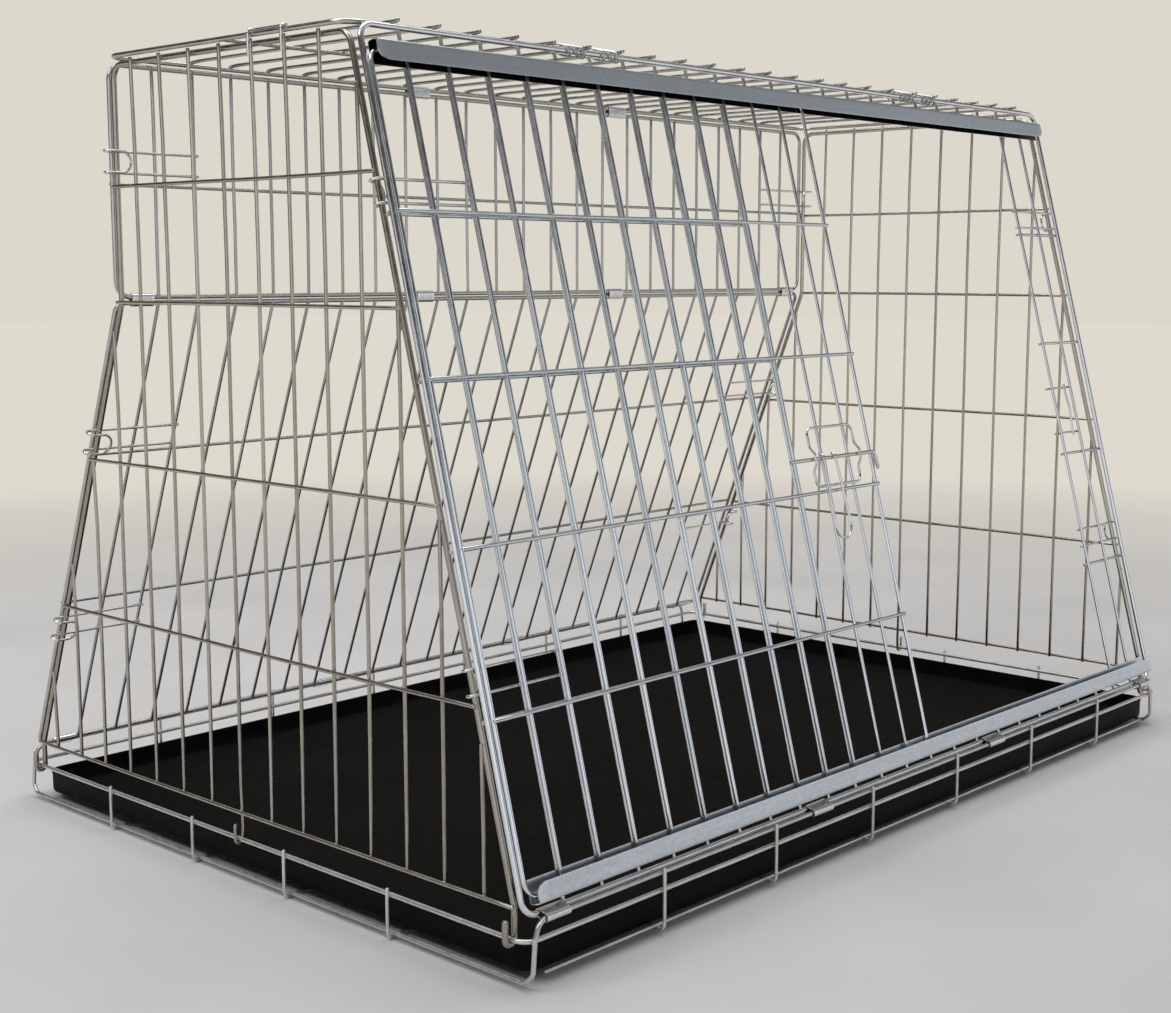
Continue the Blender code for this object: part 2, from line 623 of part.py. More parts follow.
for i, k in enumerate((5.18, 6.18, 17.18, 18.18), 1):
    hinge_coil("front_hinge_coil_%d" % i, kx(k))

for o in PARTS.objects:
    if o.type == 'MESH':
        o.data.shade_flat()
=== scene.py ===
"""Collapsible sloping wire kennel cage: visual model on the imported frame."""
import math
import random
import bpy
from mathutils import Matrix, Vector, noise


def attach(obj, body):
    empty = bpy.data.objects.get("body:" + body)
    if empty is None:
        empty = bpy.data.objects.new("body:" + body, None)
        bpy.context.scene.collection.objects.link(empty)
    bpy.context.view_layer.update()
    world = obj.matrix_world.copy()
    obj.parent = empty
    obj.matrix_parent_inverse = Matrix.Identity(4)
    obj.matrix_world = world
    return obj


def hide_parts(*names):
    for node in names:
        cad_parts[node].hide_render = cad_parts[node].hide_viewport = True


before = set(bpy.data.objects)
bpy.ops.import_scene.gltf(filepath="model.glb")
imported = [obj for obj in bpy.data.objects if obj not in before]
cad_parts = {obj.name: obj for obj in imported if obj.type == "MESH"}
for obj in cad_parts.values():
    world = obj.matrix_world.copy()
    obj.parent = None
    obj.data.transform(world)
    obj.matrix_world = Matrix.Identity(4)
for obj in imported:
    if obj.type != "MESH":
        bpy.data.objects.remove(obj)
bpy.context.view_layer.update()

rng = random.Random(11)

# ------------------------------------------------------------------ camera
scene = bpy.context.scene
cam_data = bpy.data.cameras.new("camera")
cam_data.sensor_width = 36.0
cam_data.sensor_fit = 'HORIZONTAL'
cam_data.lens = 52.69
cam_data.clip_end = 60.0
cam_data.dof.use_dof = False
cam = bpy.data.objects.new("camera", cam_data)
cam.location = (-1.2088, -1.0534, 0.4601)
cam.rotation_euler = (1.4359, 0.0, -0.8234)
scene.collection.objects.link(cam)
scene.camera = cam

# ------------------------------------------------------------------ dimensions (the CAD's)
PITCH = 0.0381
NX, NY = 24, 16
HX, HY = NX * PITCH / 2, NY * PITCH / 2
R_THIN = R_BAR = 0.0013
R_FRAME, R_POST, R_RING, R_FLOOR, R_PIN = 0.0020, 0.0022, 0.0017, 0.0014, 0.0011
GAP, BITE = 0.0003, 0.0004
Z_RING, Z_UPSTAND, Y_RING = 0.0325, 0.0455, 0.3085
X_RING = HX + R_RING + GAP + R_POST
Z_TOP, Z_END_TOP, Z_ROOF = 0.6220, 0.6208, 0.6272
Z_MID_UP, Z_MID_LOW = 0.4417, 0.4370
Y_BACK, Y_ROOF_FRONT = 0.1500, -0.1412
X_ROOF = HX + 0.0020
FRONT_FOOT, FRONT_HEAD = (-0.2996, 0.0421), (-0.1451, 0.6225)
S_FRONT_BOTTOM, S_FRONT_TOP = 0.0040, 0.6022
FRONT_BARS = (0.1325, 0.2460, 0.3595, 0.4730)
LOW_FOOT, LOW_HEAD = (0.3010, 0.0490), (0.1505, Z_MID_LOW)
LOW_BARS = (0.1425, 0.2820)
END_BARS = (0.1808, 0.3095, 0.4377, 0.5276)
Z_END_BOTTOM, UP_BAR = 0.0532, 0.5300
P_OFF = 0.0044
DOOR_OFF, DOOR_CELLS, DOOR_S0, DOOR_S1, R_DOOR = 0.0077, 13, 0.0165, 0.5845, 0.0016
FN, FU = 0.96636, 0.25724               # the front plane's normal is (0, -FN, FU)
CH_X, CH_IN, CH_OUT, CH_T = 0.4500, 0.0050, 0.0142, 0.0008
BOLT_S, R_BOLT = 0.2735, 0.0016
TRAY_X, TRAY_Y, TRAY_H, TRAY_Z0 = 0.4520, 0.3000, 0.0196, 0.0056


def kx(k):
    return (k - NX / 2) * PITCH


def ny(n):
    return HY - n * PITCH


def plane(foot, head, outward):
    f, h = Vector((0, *foot)), Vector((0, *head))
    up = (h - f).normalized()
    nrm = Vector((0, outward * up.z, -outward * up.y))

    def at(x, s, off=0.0):
        p = f + up * s + nrm * off
        return Vector((x, p.y, p.z))
    at.up, at.n, at.length = up, nrm, (h - f).length
    return at


front = plane(FRONT_FOOT, FRONT_HEAD, -1)
low = plane(LOW_FOOT, LOW_HEAD, 1)
back = plane((Y_BACK, 0.0), (Y_BACK, 1.0), 1)


def grille(x, s, off=0.0):
    return front(x, s, off + P_OFF)


grille.up = front.up


def rounded(pts, rad, n=7, closed=False):
    pts = [Vector(p) for p in pts]
    out, N = [], len(pts)
    for i, p in enumerate(pts):
        if not closed and i in (0, N - 1):
            out.append(p)
            continue
        a, b = pts[i - 1] - p, pts[(i + 1) % N] - p
        r = rad[i] if isinstance(rad, (list, tuple)) else rad
        ang = a.angle(b)
        if r <= 0 or ang > math.radians(177):
            out.append(p)
            continue
        d = min(r / math.tan(ang / 2), 0.49 * a.length, 0.49 * b.length)
        r = d * math.tan(ang / 2)
        t0, t1 = p + a.normalized() * d, p + b.normalized() * d
        c = p + (a.normalized() + b.normalized()).normalized() * (r / math.sin(ang / 2))
        u, v = t0 - c, t1 - c
        tot = u.angle(v)
        for j in range(n + 1):
            f = j / n
            out.append(c + (u * math.sin((1 - f) * tot) + v * math.sin(f * tot)) / math.sin(tot))
    return out


def spline(pts, per=5, closed=False):
    """Catmull-Rom curve through the points."""
    P = [Vector(p) for p in pts]
    N = len(P)
    out = []
    for i in range(N if closed else N - 1):
        p1, p2 = P[i], P[(i + 1) % N]
        p0 = P[i - 1] if (closed or i > 0) else p1 * 2 - p2
        p3 = P[(i + 2) % N] if (closed or i < N - 2) else p2 * 2 - p1
        for j in range(per):
            t = j / per
            out.append(0.5 * ((2 * p1) + (p2 - p0) * t + (2 * p0 - 5 * p1 + 4 * p2 - p3) * t * t
                              + (3 * p1 - p0 - 3 * p2 + p3) * t ** 3))
    if not closed:
        out.append(P[-1])
    return out


# ------------------------------------------------------------------ mesh building
class Build:
    """Collects swept wires, weld nuggets and folded sheets into one mesh."""

    def __init__(self):
        self.v, self.f, self.uv, self.rnd, self.weld = [], [], [], [], []

    def _face(self, idx, uvs):
        self.f.append(idx)
        self.uv.append(uvs)

    def wire(self, pts, r, cyc=False, sides=12, bow=None, step=None, ends=(1, 1)):
        if 0.00125 < r < 0.00135:
            r *= 1.10                # drawn wire with its plating
        P = [Vector(p) for p in pts]
        if step:
            Q = [P[0]]
            for a, b in zip(P, P[1:] + ([P[0]] if cyc else [])):
                m = max(1, int((b - a).length / step))
                for j in range(1, m + 1):
                    Q.append(a.lerp(b, j / m))
            P = Q
        Q = [P[0]]
        for p in P[1:]:
            if (p - Q[-1]).length > 3e-5:
                Q.append(p)
        if cyc and (Q[0] - Q[-1]).length < 3e-5:
            Q.pop()
        n = len(Q)
        if bow:
            ax, amp = Vector(bow[0]), bow[1]
            ph, q1, q2 = rng.random() * 50, rng.uniform(-1, 1), rng.uniform(-1, 1)
            tot = sum((Q[i + 1] - Q[i]).length for i in range(n - 1))
            acc = 0.0
            R = []
            for i, p in enumerate(Q):
                if i:
                    acc += (Q[i] - Q[i - 1]).length
                t = acc / tot
                w = math.sin(math.pi * t) * q1 + 0.5 * math.sin(2 * math.pi * t) * q2
                w += 0.35 * noise.noise(Vector((t * 5 + ph, ph, 0))) * min(1, 8 * t, 8 * (1 - t))
                R.append(p + ax * amp * w)
            Q = R
        T = []
        for i in range(n):
            a = Q[i - 1] if (cyc or i > 0) else None
            b = Q[(i + 1) % n] if (cyc or i < n - 1) else None
            d = Vector((0, 0, 0))
            if a is not None:
                d += (Q[i] - a).normalized()
            if b is not None:
                d += (b - Q[i]).normalized()
            if d.length < 1e-9:
                d = (Q[i] - a)
            T.append(d.normalized())
        ref = Vector((0, 0, 1)) if abs(T[0].z) < 0.8 else Vector((0, 1, 0))
        N0 = (ref - T[0] * ref.dot(T[0])).normalized()
        Ns = [N0]
        for i in range(1, n):
            q = T[i - 1].rotation_difference(T[i])
            v = q @ Ns[-1]
            Ns.append((v - T[i] * v.dot(T[i])).normalized())
        twist = 0.0
        if cyc:
            q = T[-1].rotation_difference(T[0])
            v = q @ Ns[-1]
            twist = math.atan2(v.cross(Ns[0]).dot(T[0]), v.dot(Ns[0]))
        stations = []          # (position, tangent, normal, radius, u)
        u = 0.0
        for i in range(n):
            if i:
                u += (Q[i] - Q[i - 1]).length
            nn = Ns[i]
            if cyc:
                a = twist * i / n
                nn = nn * math.cos(a) + T[i].cross(nn) * math.sin(a)
            stations.append((Q[i], T[i], nn, r, u))
        if not cyc:            # chamfered cut ends
            s0, s1 = stations[0], stations[-1]
            c = 0.42 * r
            pre = [(s0[0], s0[1], s0[2], r * 0.66, 0.0), (s0[0] + s0[1] * c * 0.45, s0[1], s0[2], r * 0.93, 0.0)]
            post = [(s1[0] - s1[1] * c * 0.45, s1[1], s1[2], r * 0.93, u), (s1[0], s1[1], s1[2], r * 0.66, u)]
            stations[0] = (s0[0] + s0[1] * c, s0[1], s0[2], r, 0.0)
            stations[-1] = (s1[0] - s1[1] * c, s1[1], s1[2], r, u)
            stations = pre + stations + post
        rv = rng.random()
        base = len(self.v)
        off = rng.random() * 7
        for p, t, nn, rad, uu in stations:
            bb = t.cross(nn)
            for j in range(sides):
                a = 2 * math.pi * j / sides
                self.v.append(p + (nn * math.cos(a) + bb * math.sin(a)) * rad)
                self.rnd.append(rv)
                self.weld.append(0.0)
        m = len(stations)
        for i in range(m if cyc else m - 1):
            i2 = (i + 1) % m
            u0, u1 = stations[i][4] + off, (stations[i2][4] if i2 else stations[i][4] + (stations[0][0] - stations[i][0]).length) + off
            for j in range(sides):
                j2 = (j + 1) % sides
                self._face((base + i * sides + j, base + i * sides + j2, base + i2 * sides + j2, base + i2 * sides + j),
                           ((u0, j / sides), (u0, (j + 1) / sides), (u1, (j + 1) / sides), (u1, j / sides)))
        if not cyc:
            self._face(tuple(base + j for j in range(sides))[::-1], tuple((off, j / sides) for j in range(sides)))
            e = base + (m - 1) * sides
            self._face(tuple(e + j for j in range(sides)), tuple((u + off, j / sides) for j in range(sides)))

    def nugget(self, p, da, db, r):
        """Squashed weld bead between two crossing wires."""
        p = Vector(p)
        da, db = Vector(da).normalized(), Vector(db)
        db = (db - da * db.dot(da)).normalized()
        dc = da.cross(db)
        la = r * rng.uniform(1.20, 1.45)
        lb = r * rng.uniform(1.20, 1.45)
        lc = r * rng.uniform(0.72, 0.85)
        base, sides, rows = len(self.v), 8, 4
        rv = rng.random()
        for i in range(1, rows):
            th = math.pi * i / rows
            for j in range(sides):
                ph = 2 * math.pi * j / sides
                k = 1 + rng.uniform(-0.07, 0.07)
                self.v.append(p + (da * la * math.sin(th) * math.cos(ph) + db * lb * math.sin(th) * math.sin(ph)
                                   + dc * lc * math.cos(th)) * k)
        self.v += [p + dc * lc, p - dc * lc]
        self.rnd += [rv] * ((rows - 1) * sides + 2)
        self.weld += [1.0] * ((rows - 1) * sides + 2)
        t, b = base + (rows - 1) * sides, base + (rows - 1) * sides + 1
        z4 = ((0, 0), (0, 0.1), (0.1, 0.1), (0.1, 0))
        for i in range(rows - 2):
            for j in range(sides):
                j2 = (j + 1) % sides
                self._face((base + i * sides + j, base + (i + 1) * sides + j, base + (i + 1) * sides + j2, base + i * sides + j2), z4)
        for j in range(sides):
            j2 = (j + 1) % sides
            self._face((t, base + j, base + j2), z4[:3])
            e = base + (rows - 2) * sides
            self._face((b, e + j2, e + j), z4[:3])

    def folded(self, prof, thick, xs, place, ends=None, closed=False, wave=0.0):
        """Sheet folded along a profile (a, b) and run along x, with real thickness."""
        P = [Vector((p[0], p[1])) for p in prof]
        m = len(P)
        nor = []
        for i in range(m):
            a = P[i - 1] if (closed or i) else P[i]
            b = P[(i + 1) % m] if (closed or i < m - 1) else P[i]
            d = (b - a).normalized()
            nor.append(Vector((-d.y, d.x)))
        arc = [0.0]
        for i in range(1, m):
            arc.append(arc[-1] + (P[i] - P[i - 1]).length)
        base, nxs = len(self.v), len(xs)
        ph = rng.random() * 40
        for side in (0.5, -0.5):
            for j, x in enumerate(xs):
                for i in range(m):
                    xx = x
                    if ends and j < 3:
                        xx = x + ends(0, i, arc[i], arc[-1]) * (1, 0.55, 0.2)[j]
                    if ends and j > nxs - 4:
                        xx = x - ends(1, i, arc[i], arc[-1]) * (1, 0.55, 0.2)[nxs - 1 - j]
                    q = P[i] + nor[i] * thick * side
                    if wave:
                        q = q + nor[i] * wave * noise.noise(Vector((x * 14 + ph, arc[i] * 60, ph)))
                    self.v.append(Vector(place(xx, q.x, q.y)))
                    self.rnd.append(0.5)
                    self.weld.append(0.0)

        def vid(s, j, i):
            return base + s * nxs * m + j * m + i
        last = m if closed else m - 1
        for j in range(nxs - 1):
            for i in range(last):
                i2 = (i + 1) % m
                uv = ((xs[j], arc[i]), (xs[j + 1], arc[i]), (xs[j + 1], arc[i] + 0.001), (xs[j], arc[i] + 0.001))
                self._face((vid(0, j, i), vid(0, j + 1, i), vid(0, j + 1, i2), vid(0, j, i2)), uv)
                self._face((vid(1, j, i2), vid(1, j + 1, i2), vid(1, j + 1, i), vid(1, j, i)), uv)
            if not closed:
                uv = ((xs[j], 0), (xs[j + 1], 0), (xs[j + 1], 0.001), (xs[j], 0.001))
                self._face((vid(1, j, 0), vid(1, j + 1, 0), vid(0, j + 1, 0), vid(0, j, 0)), uv)
                self._face((vid(0, j, m - 1), vid(0, j + 1, m - 1), vid(1, j + 1, m - 1), vid(1, j, m - 1)), uv)
        for i in range(last):
            i2 = (i + 1) % m
            uv = ((0, 0), (0.001, 0), (0.001, 0.001), (0, 0.001))
            self._face((vid(0, 0, i), vid(0, 0, i2), vid(1, 0, i2), vid(1, 0, i)), uv)
            e = nxs - 1
            self._face((vid(1, e, i), vid(1, e, i2), vid(0, e, i2), vid(0, e, i)), uv)

    def done(self, name, body, mat, replaces, sharp=42):
        me = bpy.data.meshes.new(name)
        me.from_pydata([tuple(v) for v in self.v], [], self.f)
        uvl = me.uv_layers.new(name="wire")
        flat = []
        for uvs in self.uv:
            for q in uvs:
                flat += [q[0], q[1]]
        uvl.data.foreach_set("uv", flat)
        for key, vals in (("rnd", self.rnd), ("weld", self.weld)):
            at = me.attributes.new(key, 'FLOAT', 'POINT')
            at.data.foreach_set("value", vals)
        me.polygons.foreach_set("use_smooth", [True] * len(me.polygons))
        me.materials.append(mat)
        me.validate()
        me.update()
        me.set_sharp_from_angle(angle=math.radians(sharp))
        o = bpy.data.objects.new(name, me)
        scene.collection.objects.link(o)
        if replaces:
            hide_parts(*replaces)
        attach(o, body)
        return o


# ------------------------------------------------------------------ materials
def new_mat(name):
    m = bpy.data.materials.new(name)
    m.use_nodes = True
    nt = m.node_tree
    b = nt.nodes["Principled BSDF"]
    return m, nt, b


def node(nt, kind, **kw):
    n = nt.nodes.new(kind)
    for k, v in kw.items():
        if k in n.inputs:
            n.inputs[k].default_value = v
        else:
            setattr(n, k, v)
    return n


def ramp(nt, src, stops):
    r = nt.nodes.new("ShaderNodeValToRGB")
    e = r.color_ramp.elements
    while len(e) < len(stops):
        e.new(0.5)
    for i, (p, c) in enumerate(stops):
        e[i].position = p
        e[i].color = (*c, 1) if len(c) == 3 else c
    nt.links.new(src, r.inputs[0])
    return r.outputs[0]


def mapr(nt, src, a, b, c, d):
    m = nt.nodes.new("ShaderNodeMapRange")
    for i, v in zip((1, 2, 3, 4), (a, b, c, d)):
        m.inputs[i].default_value = v
    nt.links.new(src, m.inputs[0])
    return m.outputs[0]


def math2(nt, op, a, b):
    m = nt.nodes.new("ShaderNodeMath")
    m.operation = op
    for i, v in enumerate((a, b)):
        if isinstance(v, (int, float)):
            m.inputs[i].default_value = v
        else:
            nt.links.new(v, m.inputs[i])
    return m.outputs[0]


def mixc(nt, fac, a, b, mode='MIX'):
    m = nt.nodes.new("ShaderNodeMix")
    m.data_type = 'RGBA'
    m.blend_type = mode
    for key, v in ((0, fac), (6, a), (7, b)):
        if isinstance(v, (int, float)):
            m.inputs[key].default_value = v
        elif isinstance(v, tuple):
            m.inputs[key].default_value = (*v, 1)
        else:
            nt.links.new(v, m.inputs[key])
    return m.outputs[2]


def noise_tex(nt, vec, scale, detail=3.0, rough=0.55):
    t = nt.nodes.new("ShaderNodeTexNoise")
    t.inputs["Scale"].default_value = scale
    t.inputs["Detail"].default_value = detail
    t.inputs["Roughness"].default_value = rough
    if vec is not None:
        nt.links.new(vec, t.inputs["Vector"])
    return t.outputs["Fac"]


def scaled(nt, vec, s):
    m = nt.nodes.new("ShaderNodeMapping")
    m.inputs["Scale"].default_value = s
    nt.links.new(vec, m.inputs["Vector"])
    return m.outputs[0]


def zinc_wire(name, dark, light, rough=(0.20, 0.40), warm=(0.50, 0.45, 0.38), warm_amt=0.25):
    """Bright zinc plated drawn wire: drawing streaks along it, dull patches, wire to wire tone."""
    m, nt, b = new_mat(name)
    tc = node(nt, "ShaderNodeTexCoord")
    uv = node(nt, "ShaderNodeUVMap", uv_map="wire").outputs[0]
    att = node(nt, "ShaderNodeAttribute", attribute_name="rnd")
    wel = node(nt, "ShaderNodeAttribute", attribute_name="weld")
    patch = noise_tex(nt, tc.outputs["Object"], 70, 4, 0.6)
    fine = noise_tex(nt, tc.outputs["Object"], 900, 2, 0.5)
    streak = noise_tex(nt, scaled(nt, uv, (22, 9, 1)), 1.0, 3, 0.6)
    tone = math2(nt, 'ADD', math2(nt, 'MULTIPLY', att.outputs["Fac"], 0.45), math2(nt, 'MULTIPLY', patch, 0.75))
    col = ramp(nt, tone, ((0.20, dark), (0.85, light)))
    wf = math2(nt, 'MULTIPLY', mapr(nt, noise_tex(nt, tc.outputs["Object"], 17, 3), 0.42, 0.68, 0, 1), warm_amt)
    col = mixc(nt, wf, col, warm)
    col = mixc(nt, mapr(nt, streak, 0.35, 0.8, 0, 0.28), col, tuple(0.6 * c for c in dark))
    tint = ramp(nt, noise_tex(nt, tc.outputs["Object"], 420, 3), ((0.30, (0.30, 0.27, 0.24)), (0.70, (0.62, 0.61, 0.60))))
    col = mixc(nt, math2(nt, 'MULTIPLY', wel.outputs["Fac"], 0.75), col, tint)
    nt.links.new(col, b.inputs["Base Color"])
    rr = mapr(nt, math2(nt, 'ADD', math2(nt, 'MULTIPLY', patch, 0.65), math2(nt, 'MULTIPLY', streak, 0.35)),
              0.35, 0.68, rough[0], rough[1])
    rr = math2(nt, 'ADD', rr, math2(nt, 'MULTIPLY', wel.outputs["Fac"], 0.14))
    nt.links.new(rr, b.inputs["Roughness"])
    b.inputs["Metallic"].default_value = 1.0
    bump = node(nt, "ShaderNodeBump", Strength=0.22, Distance=0.00012)
    h = math2(nt, 'ADD', math2(nt, 'MULTIPLY', streak, 0.7), math2(nt, 'MULTIPLY', fine, 0.3))
    nt.links.new(h, bump.inputs["Height"])
    nt.links.new(bump.outputs[0], b.inputs["Normal"])
    return m


def zinc_sheet(name, dark, light, rough=(0.28, 0.44), cell=300, streaks=0.35, painted_slot_shade=False):
    """Galvanised sheet: fine mottling, rolling streaks along the length, edge wear."""
    m, nt, b = new_mat(name)
    tc = node(nt, "ShaderNodeTexCoord")
    obj = tc.outputs["Object"]
    vor = nt.nodes.new("ShaderNodeTexVoronoi")
    vor.inputs["Scale"].default_value = cell
    nt.links.new(obj, vor.inputs["Vector"])
    mot = noise_tex(nt, obj, cell * 0.9, 4, 0.65)
    cloud = noise_tex(nt, obj, 26, 3, 0.5)
    st = noise_tex(nt, scaled(nt, obj, (6, 420, 420)), 1.0, 3, 0.6)
    sep = node(nt, "ShaderNodeSeparateColor")
    nt.links.new(vor.outputs["Color"], sep.inputs[0])
    t = math2(nt, 'ADD', math2(nt, 'MULTIPLY', sep.outputs[0], 0.22), math2(nt, 'MULTIPLY', mot, 0.45))
    t = math2(nt, 'ADD', t, math2(nt, 'MULTIPLY', st, streaks))
    t = math2(nt, 'ADD', t, math2(nt, 'MULTIPLY', cloud, 0.12))
    col = ramp(nt, t, ((0.35, dark), (0.80, light)))
    geo = node(nt, "ShaderNodeNewGeometry")
    edge = mapr(nt, geo.outputs["Pointiness"], 0.53, 0.60, 0, 0.5)
    col = mixc(nt, edge, col, tuple(min(1, 1.15 * c) for c in light))
    if painted_slot_shade:                                         # painted shade: the inside of the fold is darkened in the colour, standing in for the shadow in the channel
        dn = node(nt, "ShaderNodeVectorMath", operation='DOT_PRODUCT')
        dn.inputs[1].default_value = Vector((0.0, -FN, FU))
        nt.links.new(obj, dn.inputs[0])
        depth = math2(nt, 'ADD', dn.outputs["Value"], -(0.2996 * FN + 0.0421 * FU))
        slot_shade_mask = math2(nt, 'MULTIPLY', mapr(nt, depth, 0.0053, 0.0057, 0, 1), mapr(nt, depth, 0.0105, 0.0122, 1, 0))
        col = mixc(nt, slot_shade_mask, col, (0.030, 0.031, 0.034))
    nt.links.new(col, b.inputs["Base Color"])
    nt.links.new(mapr(nt, t, 0.40, 0.78, rough[1], rough[0]), b.inputs["Roughness"])
    b.inputs["Metallic"].default_value = 1.0
    bump = node(nt, "ShaderNodeBump", Strength=0.18, Distance=0.00015)
    nt.links.new(math2(nt, 'ADD', mot, math2(nt, 'MULTIPLY', st, 0.5)), bump.inputs["Height"])
    nt.links.new(bump.outputs[0], b.inputs["Normal"])
    return m


def black_tray(name):
    m, nt, b = new_mat(name)
    tc = node(nt, "ShaderNodeTexCoord")
    obj = tc.outputs["Object"]
    grain = noise_tex(nt, obj, 1100, 3, 0.6)
    dust = noise_tex(nt, obj, 35, 5, 0.65)
    scuff = noise_tex(nt, scaled(nt, obj, (30, 30, 900)), 1.0, 3, 0.7)
    col = ramp(nt, dust, ((0.35, (0.0030, 0.0028, 0.0028)), (0.72, (0.0090, 0.0084, 0.0082))))
    col = mixc(nt, mapr(nt, scuff, 0.60, 0.85, 0, 0.30), col, (0.022, 0.021, 0.020))
    nt.links.new(col, b.inputs["Base Color"])
    nt.links.new(mapr(nt, dust, 0.3, 0.7, 0.40, 0.60), b.inputs["Roughness"])
    b.inputs["Specular IOR Level"].default_value = 0.07
    bump = node(nt, "ShaderNodeBump", Strength=0.30, Distance=0.0002)
    nt.links.new(math2(nt, 'ADD', grain, math2(nt, 'MULTIPLY', scuff, 0.4)), bump.inputs["Height"])
    nt.links.new(bump.outputs[0], b.inputs["Normal"])
    return m


def black_mat(name):
    """Thin black felted fleece: fibres, soft nap and faint lint."""
    m, nt, b = new_mat(name)
    tc = node(nt, "ShaderNodeTexCoord")
    obj = tc.outputs["Object"]
    fib = noise_tex(nt, obj, 1500, 4, 0.75)
    nap = noise_tex(nt, obj, 120, 4, 0.6)
    cloud = noise_tex(nt, obj, 9, 4, 0.55)
    lint = noise_tex(nt, obj, 640, 1, 0.4)
    t = math2(nt, 'ADD', math2(nt, 'MULTIPLY', fib, 0.5), math2(nt, 'MULTIPLY', cloud, 0.5))
    col = ramp(nt, t, ((0.32, (0.0020, 0.0018, 0.0018)), (0.70, (0.0085, 0.0076, 0.0072))))
    col = mixc(nt, mapr(nt, lint, 0.74, 0.80, 0, 0.35), col, (0.06, 0.058, 0.055))
    nt.links.new(col, b.inputs["Base Color"])
    nt.links.new(mapr(nt, nap, 0.3, 0.7, 0.82, 0.97), b.inputs["Roughness"])
    b.inputs["Specular IOR Level"].default_value = 0.06
    b.inputs["Sheen Weight"].default_value = 0.008
    b.inputs["Sheen Roughness"].default_value = 0.6
    bump = node(nt, "ShaderNodeBump", Strength=0.55, Distance=0.0006)
    nt.links.new(math2(nt, 'ADD', math2(nt, 'MULTIPLY', fib, 0.6), nap), bump.inputs["Height"])
    nt.links.new(bump.outputs[0], b.inputs["Normal"])
    return m


# All panels are the same zinc plated wire; the end, back and roof copies get darker, browner tones than the front and
# door copies: painted shade standing in for the dark room those wires reflect
M_FRONT = zinc_wire("zinc_front", (0.58, 0.61, 0.64), (0.86, 0.88, 0.90), (0.14, 0.30), warm_amt=0.08)
M_DOOR = zinc_wire("zinc_door", (0.58, 0.62, 0.66), (0.88, 0.91, 0.94), (0.12, 0.28), warm_amt=0.05)
M_BACK_SHADED = zinc_wire("zinc_back_shaded", (0.38, 0.37, 0.36), (0.64, 0.63, 0.62), (0.18, 0.36), warm_amt=0.22)
M_END_SHADED = zinc_wire("zinc_end_shaded", (0.34, 0.31, 0.27), (0.60, 0.57, 0.51), (0.18, 0.34), warm_amt=0.45)
M_BASE = zinc_wire("zinc_base", (0.58, 0.57, 0.55), (0.84, 0.83, 0.80), (0.22, 0.40), warm_amt=0.30)
M_ROOF_SHADED = zinc_wire("zinc_roof_shaded", (0.34, 0.33, 0.31), (0.60, 0.59, 0.56), (0.20, 0.38), warm_amt=0.30)
M_PIN = zinc_wire("zinc_pin", (0.62, 0.62, 0.61), (0.90, 0.90, 0.88), (0.12, 0.26), warm_amt=0.30)
M_COIL = zinc_wire("zinc_coil", (0.42, 0.42, 0.41), (0.70, 0.70, 0.69), (0.22, 0.42), warm_amt=0.30)
M_SHEET = zinc_sheet("galvanised_channel", (0.50, 0.53, 0.56), (0.68, 0.71, 0.74), (0.24, 0.36), 800, 0.25)
# the top channel's copy has painted shade inside its slot
M_SHEET_TOP = zinc_sheet("galvanised_top_channel", (0.50, 0.53, 0.56), (0.68, 0.71, 0.74), (0.24, 0.36), 800, 0.25, True)
M_CLIP = zinc_sheet("clip_sheet", (0.66, 0.67, 0.68), (0.92, 0.93, 0.94), (0.16, 0.32), 500, 0.25)
M_TRAY = black_tray("tray_black")
M_MAT = black_mat("mat_black")
for mm in (M_BACK_SHADED, M_BASE):                      # duller wire: part of the light is scattered
    for nd in mm.node_tree.nodes:
        if nd.type == 'BSDF_PRINCIPLED' and not nd.inputs["Metallic"].is_linked:
            nd.inputs["Metallic"].default_value = 0.86


def loop_of(at, s0, s1, x0, x1, r, off=0.0, n=8):
    return rounded([at(x0, s0, off), at(x1, s0, off), at(x1, s1, off), at(x0, s1, off)], r, n, True)


